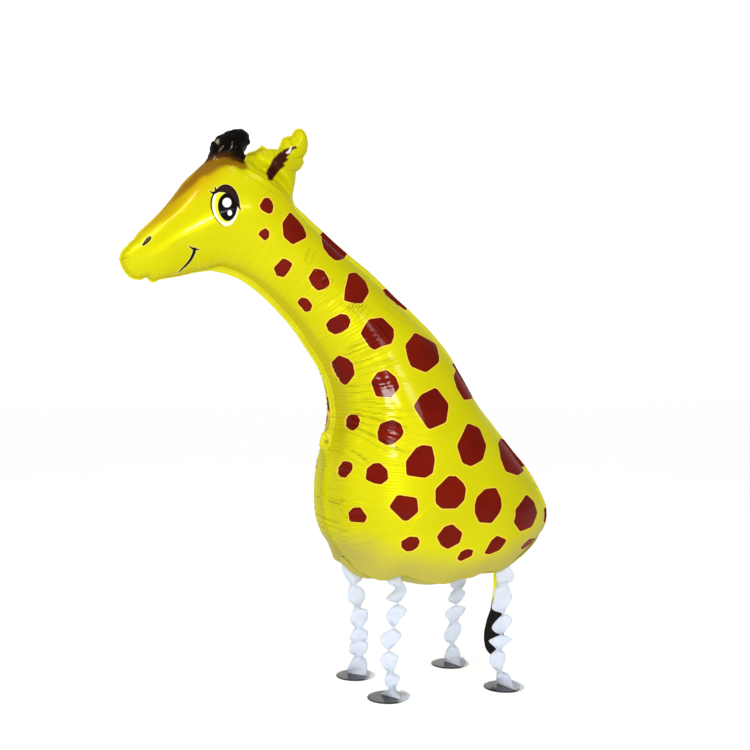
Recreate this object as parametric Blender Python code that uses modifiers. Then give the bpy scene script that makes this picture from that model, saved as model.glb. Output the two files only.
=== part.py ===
"""Giraffe foil balloon standing on four folded paper legs.

The giraffe faces -X, +Y is its right side and +Z is up. The floor is z = 0. Pieces
are placed from the middle of the feet, and an empty then puts the origin under the
middle of the whole length. The inflated envelope is two mirrored foil panels welded
along a flat seam, with a third panel under the belly. Metres.
"""

import bmesh
import bpy
import numpy as np
from math import cos, pi, radians, sin
from mathutils import Vector
from mathutils.bvhtree import BVHTree
from mathutils.geometry import delaunay_2d_cdt

# Driving dimensions of the envelope
ENVELOPE_HEIGHT = 0.575
BELLY_CLEARANCE = 0.156
BELLY_WIDTH = 0.200
BELLY_SAG = 0.014
BELLY_FRONT_TAPER = 0.45
BELLY_REAR_TAPER = 1.05
SEAM_THICKNESS = 0.0010
BODY_SEAM = 0.008
BELLY_SEAM = 0.006
FACE_SEAM = 0.004
BELLY_SEAM_SPLAY = radians(40.0)

# The filling tab on the chest seam
TAB_LEVEL = 0.171
TAB_HEIGHT = 0.027
TAB_REACH = 0.008
TAB_HOLE = 0.005
TAB_HOLE_FROM_EDGE = 0.0095

# The section is blunt along the puckered throat and chest, and sharp along the back
CHEST_FULLNESS = 0.27
BACK_FULLNESS = 0.60
NECK_START = -0.300
NECK_BLEND = 0.130

# The folds pressed into the inflated head
FOLD_DEPTH = 0.32
FOLD_WIDTH = 0.010

# Paper legs and card feet
STRIP_WIDTH = 0.025
STRIP_THICKNESS = 0.0012
STRIP_SNAP = 0.55
STRIP_FACES_VIEW = radians(68.0)
FOOT_DIAMETER = 0.054
FOOT_THICKNESS = 0.0015
GAP = 0.0003

# Tail
TAIL_LENGTH = 0.130
TAIL_STALK_WIDTH = 0.014
TAIL_TUFT_WIDTH = 0.030
TAIL_THICKNESS = 0.0012
TAIL_PLACE = 0.102

# Facet sizes
PANEL_FACET = 0.0125
HEAD_FACET = 0.0095
HEAD_REAR = -0.165
SEAM_ROWS = (0.003, 0.009)
BELLY_ROWS = 7
STRIP_STEPS = 7

# The profile is drawn 575 mm tall, in millimetres from the middle of the feet and
# from the belly seam. Each run ends in a corner: name, seam width, facet, points.
DRAWN_HEIGHT = 575.0
PROFILE = (
    ("nose", FACE_SEAM, 0.008, (
        (-408, 397), (-405, 406), (-399, 414), (-391, 422), (-384, 431), (-374, 441), (-362, 453),
        (-350, 467), (-339, 482), (-328, 497), (-314, 511), (-302, 523))),
    ("horn", FACE_SEAM, 0.006, (
        (-302, 523), (-297, 534), (-295, 545), (-290, 553), (-282, 559), (-271, 564), (-259, 567),
        (-251, 565), (-246, 558), (-246, 549), (-251, 542), (-254, 533))),
    ("ear front", FACE_SEAM, 0.006, (
        (-254, 533), (-246, 539), (-238, 542), (-230, 547), (-222, 545), (-213, 546), (-207, 551),
        (-202, 559), (-195, 563), (-190, 564))),
    ("ear tip", FACE_SEAM, 0.006, (
        (-190, 564), (-187, 571), (-180, 575), (-173, 572), (-169, 564), (-168, 554), (-170, 545),
        (-174, 537))),
    ("ear back", FACE_SEAM, 0.007, (
        (-174, 537), (-174, 530), (-178, 523), (-184, 515), (-186, 504), (-188, 493), (-188, 483),
        (-184, 474))),
    ("back", BODY_SEAM, PANEL_FACET, (
        (-184, 474), (-161, 454), (-135, 433), (-107, 411), (-76, 388), (-47, 362), (-17, 337),
        (11, 311), (34, 285), (52, 257), (70, 228), (95, 195), (125, 161), (153, 129), (173, 101),
        (185, 77), (189, 60), (187, 48), (181, 37))),
    ("belly", BELLY_SEAM, PANEL_FACET, (
        (181, 37), (162, 26), (133, 17), (100, 8), (64, -1), (31, -7), (2, -10), (-24, -7),
        (-56, -1), (-86, 3), (-108, 7), (-122, 17))),
    ("chest", BODY_SEAM, PANEL_FACET, (
        (-122, 17), (-137, 35), (-146, 57), (-150, 82), (-150, 108), (-148, 134), (-146, 154))),
    ("tab", BODY_SEAM, 0.0027, (
        (-146, 154), (-144, 166), (-142, 178), (-139, 190), (-137, 202))),
    ("throat", BODY_SEAM, PANEL_FACET, (
        (-137, 202), (-139, 220), (-143, 238), (-149, 255), (-158, 272), (-173, 294), (-194, 322),
        (-217, 346), (-238, 364), (-258, 377), (-277, 384), (-296, 387))),
    ("jaw", FACE_SEAM, 0.008, (
        (-296, 387), (-314, 384), (-334, 379), (-352, 375), (-362, 371), (-369, 370), (-376, 373),
        (-384, 372), (-393, 374), (-400, 380), (-405, 389), (-408, 397))),
)

# Folds between the head, the horn and the ear, drawn like the profile
HEAD_FOLDS = (
    ((-243, 517), (-231, 509), (-217, 500), (-200, 485), (-186, 474)),
    ((-302, 520), (-282, 523), (-262, 524), (-248, 526)),
    ((-205, 548), (-203, 555), (-196, 562)),
)

# Each leg: where its foot stands, where it meets the belly, how far its middle
# bows along X, and at which shares of its height the strip turns edge on
LEGS = {
    "front_left": ((-0.077, -0.0515), (-0.067, -0.053), 0.001, (0.175, 0.37, 0.57, 0.80)),
    "front_right": ((-0.0805, 0.056), (-0.087, 0.051), 0.003, (0.19, 0.32, 0.45, 0.65, 0.86)),
    "rear_left": ((0.083, -0.066), (0.086, -0.058), 0.001, (0.135, 0.30, 0.445, 0.61, 0.86)),
    "rear_right": ((0.0655, 0.060), (0.075, 0.056), 0.001, (0.24, 0.49, 0.69, 0.88)),
}

YELLOW_FOIL = ("yellow_foil", (0.78, 0.74, 0.03, 1.0), 0.28, 0.35)
WHITE_PAPER = ("white_paper", (0.78, 0.84, 0.90, 1.0), 0.60, 0.0)
DARK_CARD = ("dark_card", (0.06, 0.06, 0.07, 1.0), 0.30, 0.4)
TAIL_FILM = ("tail_film", (0.03, 0.02, 0.02, 1.0), 0.40, 0.0)


def clear_scene():
    for item in list(bpy.data.objects):
        bpy.data.objects.remove(item, do_unlink=True)


def new_collection(name):
    collection = bpy.data.collections.new(name)
    bpy.context.scene.collection.children.link(collection)
    return collection


def make_material(name, colour, roughness, metallic):
    material = bpy.data.materials.new(name)
    material.use_nodes = True
    shader = material.node_tree.nodes["Principled BSDF"]
    shader.inputs["Base Color"].default_value = colour
    shader.inputs["Roughness"].default_value = roughness
    shader.inputs["Metallic"].default_value = metallic
    material.diffuse_color = colour
    return material


def add_object(name, mesh, collection, look):
    item = bpy.data.objects.new(name, mesh)
    collection.objects.link(item)
    mesh.materials.append(make_material(*look))
    return item


def drawn(points):
    """Turn drawn millimetres into metres of the X-Z plane."""
    scale = ENVELOPE_HEIGHT / DRAWN_HEIGHT
    return np.array(points, float) * scale + np.array([0.0, BELLY_CLEARANCE])


def smooth_run(points, facet):
    """Pass a smooth curve through the points and cut it into equal steps."""
    ends = np.vstack([2 * points[0] - points[1], points, 2 * points[-1] - points[-2]])
    share = np.linspace(0.0, 1.0, 16, endpoint=False)[:, None]
    pieces = []
    for a, b, c, d in zip(ends[:-3], ends[1:-2], ends[2:-1], ends[3:]):
        pieces.append(0.5 * (2 * b + (c - a) * share + (2 * a - 5 * b + 4 * c - d) * share ** 2
                             + (3 * b - a - 3 * c + d) * share ** 3))
    fine = np.vstack(pieces + [points[-1:]])
    travelled = np.concatenate([[0.0], np.cumsum(np.linalg.norm(np.diff(fine, axis=0), axis=1))])
    steps = max(3, round(travelled[-1] / facet))
    wanted = np.linspace(0.0, travelled[-1], steps + 1)
    return np.column_stack([np.interp(wanted, travelled, fine[:, k]) for k in (0, 1)])[:-1]


def ring_average(values, reach):
    total = sum(np.roll(values, shift, axis=0) for shift in range(-reach, reach + 1))
    return total / (2 * reach + 1)


def outline():
    """Give the seam's outer edge, its inner edge and the run that each point is on."""
    runs = [smooth_run(drawn(points), facet) for _, _, facet, points in PROFILE]
    edge = np.vstack(runs)
    names = [name for (name, *_), run in zip(PROFILE, runs) for _ in run]
    widths = np.concatenate([np.full(len(run), seam) for (_, seam, *_), run in zip(PROFILE, runs)])
    along = np.roll(edge, -1, axis=0) - np.roll(edge, 1, axis=0)
    outward = np.column_stack([-along[:, 1], along[:, 0]])
    outward /= np.linalg.norm(outward, axis=1)[:, None]
    widths = ring_average(widths, 1)
    inner = edge - outward * widths[:, None]
    return edge, inner, outward, names


def tab_outline(edge, outward):
    """Push the seam's outer edge out where the filling tab is."""
    off_middle = np.abs(edge[:, 1] - BELLY_CLEARANCE - TAB_LEVEL) / (TAB_HEIGHT / 2)
    on_front = edge[:, 0] < 0
    reach = TAB_REACH * np.clip(1 - off_middle ** 5, 0, 1) * on_front
    return edge + outward * reach[:, None]


def inside(points, ring):
    """Say which points lie inside a closed ring, by counting crossings."""
    a = ring[None, :, :]
    b = np.roll(ring, -1, axis=0)[None, :, :]
    x = points[:, None, 0]
    z = points[:, None, 1]
    spans = (a[..., 1] > z) != (b[..., 1] > z)
    rise = np.where(spans, b[..., 1] - a[..., 1], 1.0)
    crossing = a[..., 0] + (z - a[..., 1]) / rise * (b[..., 0] - a[..., 0])
    return (spans & (x < crossing)).sum(axis=1) % 2 == 1


def distance_to_line(points, line, closed):
    a = line if closed else line[:-1]
    b = np.roll(line, -1, axis=0) if closed else line[1:]
    run = b - a
    share = ((points[:, None] - a) * run).sum(-1) / (run ** 2).sum(-1)
    nearest = a + np.clip(share, 0, 1)[..., None] * run
    return np.linalg.norm(points[:, None] - nearest, axis=-1).min(axis=1)


def even_grid(facet, left, right, low, high):
    """Give the corners of equal triangles over a rectangle."""
    grid = []
    for count, z in enumerate(np.arange(low, high, facet * 3 ** 0.5 / 2)):
        for x in np.arange(left + (count % 2) * facet / 2, right, facet):
            grid.append((x, z))
    return np.array(grid)


def panel_points(inner, outward):
    """Spread points over one side panel: rows along the seam, then an even grid."""
    rows = []
    for depth in SEAM_ROWS:
        row = inner - outward * depth
        clear = distance_to_line(row, inner, True) > 0.85 * depth
        rows.append(row[clear & inside(row, inner)][:: 1 if depth < 0.005 else 2])
    low = inner.min(axis=0)
    high = inner.max(axis=0)
    split = HEAD_REAR
    grids = []
    for facet, left, right in ((HEAD_FACET, low[0], split), (PANEL_FACET, split + HEAD_FACET, high[0])):
        grid = even_grid(facet, left, right, low[1], high[1])
        grid = grid[inside(grid, inner)]
        grids.append(grid[distance_to_line(grid, inner, True) > SEAM_ROWS[-1] + 0.55 * facet])
    return np.vstack([inner] + rows + grids)


def triangles_over(points, ring):
    """Triangulate the points inside the ring that the first of them form."""
    count = len(ring)
    loop = [(k, (k + 1) % count) for k in range(count)]
    flat, _, faces, sources, _, _ = delaunay_2d_cdt([Vector(p) for p in points], loop, [], 0, 1e-7)
    source = [found[0] for found in sources]
    faces = np.array([[source[k] for k in face] for face in faces])
    middles = points[faces].mean(axis=1)
    return faces[inside(middles, ring)]


def swell(points, faces, fixed, value):
    """Solve how far a panel swells under pressure: a membrane held at fixed points."""
    count = len(points)
    stiffness = np.zeros((count, count))
    load = np.zeros(count)
    a, b, c = (points[faces[:, k]] for k in range(3))
    area = 0.5 * np.abs((b - a)[:, 0] * (c - a)[:, 1] - (b - a)[:, 1] * (c - a)[:, 0])
    opposite = np.stack([c - b, a - c, b - a])
    for i in range(3):
        np.add.at(load, faces[:, i], area / 3)
        for j in range(3):
            part = (opposite[i] * opposite[j]).sum(axis=1) / (4 * area)
            np.add.at(stiffness, (faces[:, i], faces[:, j]), part)
    free = ~fixed
    field = np.where(fixed, value, 0.0)
    right = load[free] - stiffness[np.ix_(free, fixed)] @ value[fixed]
    field[free] = np.linalg.solve(stiffness[np.ix_(free, free)], right)
    return np.sqrt(2 * np.clip(field, 0, None))


def belly_half_width(x, front, rear):
    share = 2 * (x - front) / (rear - front) - 1
    taper = np.where(share < 0, BELLY_FRONT_TAPER, BELLY_REAR_TAPER)
    return BELLY_WIDTH / 2 * np.clip(1 - share ** 2, 0, 1) ** taper


def shape_section(points, height, inner, names):
    """Make the body and neck fuller towards the throat and sharper towards the back."""
    front = inner[np.isin(names, ("chest", "tab", "throat"))]
    back = inner[np.isin(names, ("back",))]
    to_front = distance_to_line(points, front, False)
    to_back = distance_to_line(points, back, False)
    half_width = (to_front + to_back) / 2
    fullness = CHEST_FULLNESS + (BACK_FULLNESS - CHEST_FULLNESS) * to_front / (to_front + to_back)
    filled = np.clip(height / half_width, 1e-6, 1.0)
    shaped = height * filled ** (2 * fullness - 1)
    on_neck = np.clip((points[:, 0] - NECK_START) / NECK_BLEND, 0, 1)
    return height + (shaped - height) * on_neck ** 2 * (3 - 2 * on_neck)


def press_folds(points, height):
    for fold in HEAD_FOLDS:
        away = distance_to_line(points, drawn(fold), False)
        height = height * (1 - FOLD_DEPTH * np.exp(-(away / FOLD_WIDTH) ** 2))
    return height


def side_panel(bm, inner, outward, names, belly):
    """Build the left panel and give its vertices along the seam."""
    points = panel_points(inner, outward)
    faces = triangles_over(points, inner)
    count = len(inner)
    fixed = np.arange(len(points)) < count
    half_width = np.zeros(len(points))
    half_width[:count][belly] = belly_half_width(inner[belly, 0], inner[belly, 0].min(), inner[belly, 0].max())
    height = shape_section(points, swell(points, faces, fixed, half_width ** 2 / 2), inner, names)
    height = press_folds(points, height)
    height[:count] = half_width[:count]
    verts = [bm.verts.new((x, -SEAM_THICKNESS / 2 - h, z)) for (x, z), h in zip(points, height)]
    for face in faces:
        bm.faces.new([verts[k] for k in face])
    return verts[:count]


def seam_flange(bm, root, edge, outward, belly):
    """Build the flat seam around the panel, and give the belly seam's inner root."""
    flank = []
    back = []
    back_root = {}
    widest = BELLY_WIDTH / 2
    for k, vert in enumerate(root):
        splay = BELLY_SEAM_SPLAY * min(1.0, -vert.co.y / widest) if belly[k] else 0.0
        reach = edge[k] - np.array([vert.co.x, vert.co.z])
        y = vert.co.y - np.linalg.norm(reach) * sin(splay)
        x, z = np.array([vert.co.x, vert.co.z]) + reach * cos(splay)
        flank.append(bm.verts.new((x, y, z)))
        back.append(bm.verts.new((x, min(0.0, y + SEAM_THICKNESS), z)))
        if belly[k]:
            inner_y = min(0.0, vert.co.y + SEAM_THICKNESS)
            back_root[k] = bm.verts.new((vert.co.x, inner_y, vert.co.z))
    count = len(root)
    for k in range(count):
        n = (k + 1) % count
        bm.faces.new((root[k], root[n], flank[n], flank[k]))
        bm.faces.new((flank[k], flank[n], back[n], back[k]))
        if k in back_root and n in back_root:
            bm.faces.new((back[k], back[n], back_root[n], back_root[k]))
    return [back_root[k] for k in sorted(back_root)]


def belly_panel(bm, edge_verts):
    """Build the left half of the third panel, which sags below the two belly seams."""
    deepest = max(-vert.co.y for vert in edge_verts)
    rows = [edge_verts]
    for row in range(1, BELLY_ROWS + 1):
        share = row / BELLY_ROWS
        line = []
        for vert in edge_verts:
            sag = BELLY_SAG * (-vert.co.y / deepest) * (1 - (1 - share) ** 2)
            line.append(bm.verts.new((vert.co.x, vert.co.y * (1 - share), vert.co.z - sag)))
        rows.append(line)
    for upper, lower in zip(rows[:-1], rows[1:]):
        for k in range(len(upper) - 1):
            bm.faces.new((upper[k], upper[k + 1], lower[k + 1], lower[k]))


def envelope_mesh():
    """Build the left half of the envelope, open at the plane of symmetry."""
    edge, inner, outward, names = outline()
    belly = np.array([name == "belly" for name in names])
    belly[(np.flatnonzero(belly)[-1] + 1) % len(names)] = True
    bm = bmesh.new()
    root = side_panel(bm, inner, outward, names, belly)
    back_root = seam_flange(bm, root, tab_outline(edge, outward), outward, belly)
    belly_panel(bm, back_root)
    bmesh.ops.remove_doubles(bm, verts=bm.verts, dist=1e-5)
    bmesh.ops.dissolve_degenerate(bm, edges=bm.edges, dist=1e-6)
    bmesh.ops.recalc_face_normals(bm, faces=bm.faces)
    mesh = bpy.data.meshes.new("foil_envelope")
    bm.to_mesh(mesh)
    bm.free()
    return mesh, edge, outward


def tab_hole_place(edge, outward):
    nearest = np.abs(edge[:, 1] - BELLY_CLEARANCE - TAB_LEVEL) + 10.0 * (edge[:, 0] > 0)
    k = nearest.argmin()
    return edge[k] + outward[k] * (TAB_REACH - TAB_HOLE_FROM_EDGE)


def make_envelope(collection, cutters):
    mesh, edge, outward = envelope_mesh()
    envelope = add_object("foil_envelope", mesh, collection, YELLOW_FOIL)
    mirror = envelope.modifiers.new("Right half", "MIRROR")
    mirror.use_axis = (False, True, False)
    mirror.merge_threshold = 0.0001
    x, z = tab_hole_place(edge, outward)
    bpy.ops.mesh.primitive_cylinder_add(
        vertices=24, radius=TAB_HOLE / 2, depth=20 * SEAM_THICKNESS,
        location=(x, 0.0, z), rotation=(pi / 2, 0.0, 0.0))
    drill = bpy.context.object
    drill.name = "tab_drill"
    drill.hide_render = True
    drill.display_type = "WIRE"
    for owner in list(drill.users_collection):
        owner.objects.unlink(drill)
    cutters.objects.link(drill)
    cut = envelope.modifiers.new("Tab hole", "BOOLEAN")
    cut.operation = "DIFFERENCE"
    cut.object = drill
    return envelope


def surface_below(item):
    """Read the evaluated surface, so that pieces can be set against it."""
    bpy.context.view_layer.update()
    graph = bpy.context.evaluated_depsgraph_get()
    tree = BVHTree.FromObject(item, graph)

    def height(x, y):
        hit = tree.ray_cast(Vector((x, y, 0.0)), Vector((0.0, 0.0, 1.0)))[0]
        return hit.z

    return height


def strip_turn(share, turns):
    """Angle of the strip's width: edge on at each turn and flat between them."""
    shares = (0.0,) + turns + (1.0,)
    phases = (-0.5,) + tuple(range(len(turns))) + (len(turns) - 0.5,)
    phase = np.interp(share, shares, phases)
    return STRIP_FACES_VIEW + pi * (phase + STRIP_SNAP * sin(2 * pi * phase) / (2 * pi))


def strip_corners(middle, angle):
    wide = Vector((cos(angle), sin(angle), 0.0)) * STRIP_WIDTH / 2
    thick = Vector((-sin(angle), cos(angle), 0.0)) * STRIP_THICKNESS / 2
    return [middle + wide + thick, middle - wide + thick, middle - wide - thick, middle + wide - thick]


def heights_under_belly(corners, belly_height):
    """Bring a strip's end up to the belly, which bulges down between the corners."""
    heights = [belly_height(corner.x, corner.y) for corner in corners]
    overshoot = 0.0
    for a in range(4):
        for b in range(a):
            for share in np.linspace(0.0, 1.0, 9):
                spot = corners[a].lerp(corners[b], share)
                chord = heights[a] + (heights[b] - heights[a]) * share
                overshoot = max(overshoot, chord - belly_height(spot.x, spot.y))
    return [height - overshoot - GAP for height in heights]


def make_leg(name, foot, top, bow, turns, collection, belly_height):
    """Twist one flat strip from its foot up to the belly."""
    low = FOOT_THICKNESS + GAP
    last = strip_corners(Vector((*top, 0.0)), strip_turn(1.0, turns))
    top_heights = heights_under_belly(last, belly_height)
    high = min(top_heights)
    shares = np.linspace(0.0, 1.0, STRIP_STEPS * (len(turns) + 1) + 1)
    bm = bmesh.new()
    sections = []
    for share in shares:
        middle = Vector((*foot, 0.0)).lerp(Vector((*top, 0.0)), share)
        middle.x += bow * sin(pi * share)
        middle.z = low + (high - low) * share
        corners = strip_corners(middle, strip_turn(share, turns))
        if share == 1.0:
            for corner, height in zip(corners, top_heights):
                corner.z = height
        sections.append([bm.verts.new(corner) for corner in corners])
    for lower, upper in zip(sections[:-1], sections[1:]):
        for k, n in ((0, 1), (3, 2), (1, 2), (0, 3)):
            bm.faces.new((lower[k], lower[n], upper[n]))
            bm.faces.new((lower[k], upper[n], upper[k]))
    bm.faces.new(sections[0])
    bm.faces.new(sections[-1])
    bmesh.ops.recalc_face_normals(bm, faces=bm.faces)
    mesh = bpy.data.meshes.new(name)
    bm.to_mesh(mesh)
    bm.free()
    return add_object(name, mesh, collection, WHITE_PAPER)


def make_foot(name, place, collection):
    bpy.ops.mesh.primitive_cylinder_add(
        vertices=48, radius=FOOT_DIAMETER / 2, depth=FOOT_THICKNESS,
        location=(*place, FOOT_THICKNESS / 2))
    foot = bpy.context.object
    foot.name = name
    foot.data.name = name
    for owner in list(foot.users_collection):
        owner.objects.unlink(foot)
    collection.objects.link(foot)
    foot.data.materials.append(make_material(*DARK_CARD))
    return foot


def make_tail(collection, belly_height):
    """Cut the tail from flat film: a narrow stalk that ends in a leaf-shaped tuft."""
    stalk = TAIL_STALK_WIDTH / 2
    tuft = TAIL_TUFT_WIDTH / 2
    places = [TAIL_PLACE + shift for shift in np.linspace(-stalk, stalk, 5)]
    top = min(belly_height(x, 0.0) for x in places) - GAP
    shape = (
        (-stalk, 0.0, "VECTOR"), (-0.9 * stalk, -0.30, "AUTO"), (-0.75 * tuft, -0.50, "AUTO"),
        (-tuft, -0.72, "AUTO"), (-0.75 * tuft, -0.89, "AUTO"), (-0.35 * tuft, -1.0, "VECTOR"),
        (0.6 * tuft, -0.88, "AUTO"), (tuft, -0.68, "AUTO"), (0.85 * tuft, -0.50, "AUTO"),
        (0.95 * stalk, -0.32, "AUTO"), (stalk, 0.0, "VECTOR"))
    curve = bpy.data.curves.new("tail", "CURVE")
    curve.dimensions = "2D"
    curve.fill_mode = "BOTH"
    curve.extrude = TAIL_THICKNESS / 2
    curve.resolution_u = 6
    spline = curve.splines.new("BEZIER")
    spline.bezier_points.add(len(shape) - 1)
    spline.use_cyclic_u = True
    for point, (x, drop, handle) in zip(spline.bezier_points, shape):
        point.co = (x, drop * TAIL_LENGTH, 0.0)
        point.handle_left_type = handle
        point.handle_right_type = handle
    tail = bpy.data.objects.new("tail", curve)
    collection.objects.link(tail)
    tail.location = (TAIL_PLACE, 0.0, top)
    tail.rotation_euler = (pi / 2, 0.0, 0.0)
    curve.materials.append(make_material(*TAIL_FILM))
    return tail


def centre_length(items):
    """Put the origin under the middle of the giraffe's length."""
    outer = outline()[0][:, 0]
    frame = bpy.data.objects.new("feet_middle", None)
    bpy.context.scene.collection.objects.link(frame)
    frame.location.x = -(outer.min() + outer.max()) / 2
    for item in items:
        item.parent = frame


def main():
    clear_scene()
    parts = new_collection("giraffe_balloon")
    cutters = new_collection("giraffe_balloon_cutters")
    envelope = make_envelope(parts, cutters)
    belly_height = surface_below(envelope)
    for name, (foot, top, bow, turns) in LEGS.items():
        make_foot(f"card_foot_{name}", foot, parts)
        make_leg(f"paper_leg_{name}", foot, top, bow, turns, parts, belly_height)
    make_tail(parts, belly_height)
    centre_length(list(parts.objects) + list(cutters.objects))


main()
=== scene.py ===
"""Giraffe foil balloon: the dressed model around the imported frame.

The envelope's two printed side panels, its flat seams and its belly panel are rebuilt as
one fine closed mesh with creases, and the print is carried by signed distances in
millimetres on that mesh. The drawing plane is the envelope's X-Z plane, measured like the
frame's source: from the middle of the feet and from the floor. Metres.
"""

import bmesh
import bpy
import numpy as np
from math import cos, pi, radians, sin
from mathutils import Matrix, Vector
from mathutils.bvhtree import BVHTree
from mathutils.geometry import delaunay_2d_cdt


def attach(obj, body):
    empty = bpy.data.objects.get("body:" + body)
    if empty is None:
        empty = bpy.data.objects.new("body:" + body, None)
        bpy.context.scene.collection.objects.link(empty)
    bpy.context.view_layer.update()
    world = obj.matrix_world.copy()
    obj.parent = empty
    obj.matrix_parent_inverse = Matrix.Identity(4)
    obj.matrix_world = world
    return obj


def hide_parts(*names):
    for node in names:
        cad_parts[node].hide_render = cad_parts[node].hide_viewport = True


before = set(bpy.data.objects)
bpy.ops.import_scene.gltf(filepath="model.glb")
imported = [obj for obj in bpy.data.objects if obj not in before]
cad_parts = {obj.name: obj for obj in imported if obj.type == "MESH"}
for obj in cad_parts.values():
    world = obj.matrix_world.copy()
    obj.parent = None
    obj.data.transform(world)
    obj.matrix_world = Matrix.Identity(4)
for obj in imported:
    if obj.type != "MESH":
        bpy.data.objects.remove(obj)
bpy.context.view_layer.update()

ENVELOPE = "foil_envelope"

# The photograph's view: a level camera, turned about Z
VIEW_YAW = radians(22.0)
VIEW_DISTANCE = 1.41
VIEW_SIDE = -0.069
VIEW_HEIGHT = 0.413
LENS = 50.0
SENSOR = 36.0
IMAGE = 750
FOCAL_PIXELS = IMAGE * LENS / SENSOR

# Envelope: the frame's sizes, with narrower seams, and a trim, a lean and a tuck of its own
ENVELOPE_HEIGHT = 0.575
DRAWN_HEIGHT = 575.0
BELLY_CLEARANCE = 0.156
BELLY_WIDTH = 0.200
BELLY_SAG = 0.014
BELLY_FRONT_TAPER = 0.45
BELLY_REAR_TAPER = 1.05
BODY_SEAM = 0.008
BELLY_SEAM = 0.001
FACE_SEAM = 0.0016
CHEST_TRIM = 0.0062
CHEST_LEAN = 0.013
BELLY_SEAM_SPLAY = radians(40.0)
BELLY_TUCK = 0.016
BELLY_ROUNDING = 0.042
PALE_REACH = 0.066
# Bulges and dips of the underside: a pixel of the photograph, then lift and reach in metres
BELLY_BUMPS = (
    (352, 566, -0.0020, 0.012), (379, 574, -0.0050, 0.015), (409, 572, 0.0046, 0.013),
    (468, 572, 0.0066, 0.016), (491, 564, 0.0086, 0.020),
)
TAB_LEVEL = 0.171
TAB_HEIGHT = 0.027
TAB_REACH = 0.008
TAB_HOLE = 0.005
TAB_HOLE_FROM_EDGE = 0.0095
CHEST_FULLNESS = 0.27
BACK_FULLNESS = 0.60
NECK_START = -0.300
NECK_BLEND = 0.130
PROFILE = (
    ("nose", FACE_SEAM, (
        (-408, 397), (-405, 406), (-399, 414), (-391, 422), (-384, 431), (-374, 441), (-362, 453),
        (-350, 467), (-339, 482), (-328, 497), (-314, 511), (-302, 523))),
    ("horn", FACE_SEAM, (
        (-302, 523), (-297, 534), (-295, 545), (-290, 553), (-282, 559), (-271, 564), (-259, 567),
        (-251, 565), (-246, 558), (-246, 549), (-251, 542), (-254, 533))),
    ("ear front", FACE_SEAM, (
        (-254, 533), (-246, 539), (-238, 542), (-230, 547), (-222, 545), (-213, 546), (-207, 551),
        (-202, 559), (-195, 563), (-190, 564))),
    ("ear tip", FACE_SEAM, (
        (-190, 564), (-187, 571), (-180, 575), (-173, 572), (-169, 564), (-168, 554), (-170, 545),
        (-174, 537))),
    ("ear back", FACE_SEAM, (
        (-174, 537), (-174, 530), (-178, 523), (-184, 515), (-186, 504), (-188, 493), (-188, 483),
        (-184, 474))),
    ("back", BODY_SEAM, (
        (-184, 474), (-161, 454), (-135, 433), (-107, 411), (-76, 388), (-47, 362), (-17, 337),
        (11, 311), (34, 285), (52, 257), (70, 228), (95, 195), (125, 161), (153, 129), (173, 101),
        (185, 77), (189, 60), (187, 48), (181, 37))),
    ("belly", BELLY_SEAM, (
        (181, 37), (162, 26), (133, 17), (100, 8), (64, -1), (31, -7), (2, -10), (-24, -7),
        (-56, -1), (-86, 3), (-108, 7), (-122, 17))),
    ("chest", BODY_SEAM, (
        (-122, 17), (-137, 35), (-146, 57), (-150, 82), (-150, 108), (-148, 134), (-146, 154))),
    ("tab", BODY_SEAM, (
        (-146, 154), (-144, 166), (-142, 178), (-139, 190), (-137, 202))),
    ("throat", BODY_SEAM, (
        (-137, 202), (-139, 220), (-143, 238), (-149, 255), (-158, 272), (-173, 294), (-194, 322),
        (-217, 346), (-238, 364), (-258, 377), (-277, 384), (-296, 387))),
    ("jaw", FACE_SEAM, (
        (-296, 387), (-314, 384), (-334, 379), (-352, 375), (-362, 371), (-369, 370), (-376, 373),
        (-384, 372), (-393, 374), (-400, 380), (-405, 389), (-408, 397))),
)
HEAD_FOLDS = (
    ((-243, 517), (-231, 509), (-217, 500), (-200, 485), (-186, 474)),
    ((-302, 520), (-282, 523), (-262, 524), (-248, 526)),
    ((-205, 548), (-203, 555), (-196, 562)),
)
FOLD_DEPTH = 0.36
FOLD_WIDTH = 0.0075

# Fineness of the dressed envelope
FOIL = 0.0006
STEP = 0.0023
PRINT_STEP = 0.0010
SEAM_ROWS = (0.0006, 0.0016, 0.0034)
FLANGE_ROWS = 3
BELLY_ROWS = 26
OUTLINE_STEPS = 16
HOLE_SIDES = 28
SWELL_STEPS = 4000
SWELL_ERROR = 1e-10
GLINT_SIDES = 20
SPOT_SIDES = 9

# Creases that run in from each stretch of seam, in metres:
# spacing, shortest length, longest length, depth, width
CREASES = {
    "throat": (0.0065, 0.020, 0.125, 0.0011, 0.0024),
    "tab": (0.0055, 0.040, 0.090, 0.0012, 0.0024),
    "chest": (0.0065, 0.015, 0.060, 0.0010, 0.0026),
    "jaw": (0.0080, 0.006, 0.022, 0.0010, 0.0028),
    "nose": (0.0100, 0.004, 0.010, 0.0006, 0.0024),
    "horn": (0.0160, 0.004, 0.010, 0.0007, 0.0032),
    "ear front": (0.0130, 0.004, 0.014, 0.0010, 0.0028),
    "ear tip": (0.0160, 0.004, 0.010, 0.0008, 0.0028),
    "ear back": (0.0140, 0.004, 0.014, 0.0010, 0.0028),
    "back": (0.0110, 0.008, 0.030, 0.0007, 0.0026),
    "belly": (0.0100, 0.008, 0.030, 0.0009, 0.0028),
}
# Puckers of the seam's outer edge, its sway out of its plane, and the belly's folds and bumps
SCALLOPS = {"horn": 0.0009, "ear front": 0.0004, "ear back": 0.0004, "jaw": 0.0005}
SCALLOP_SPACING = 0.0105
SEAM_WAVE = 0.0012
HEAD_WAVE = 1.5
WAVE_SCALE = 0.055
WAVE_REACH = 0.014
LEAN_REACH = 0.030
BELLY_FOLD = 0.0005
BELLY_FOLD_SCALE = 0.016
BUMP_FADE = 0.026
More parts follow.
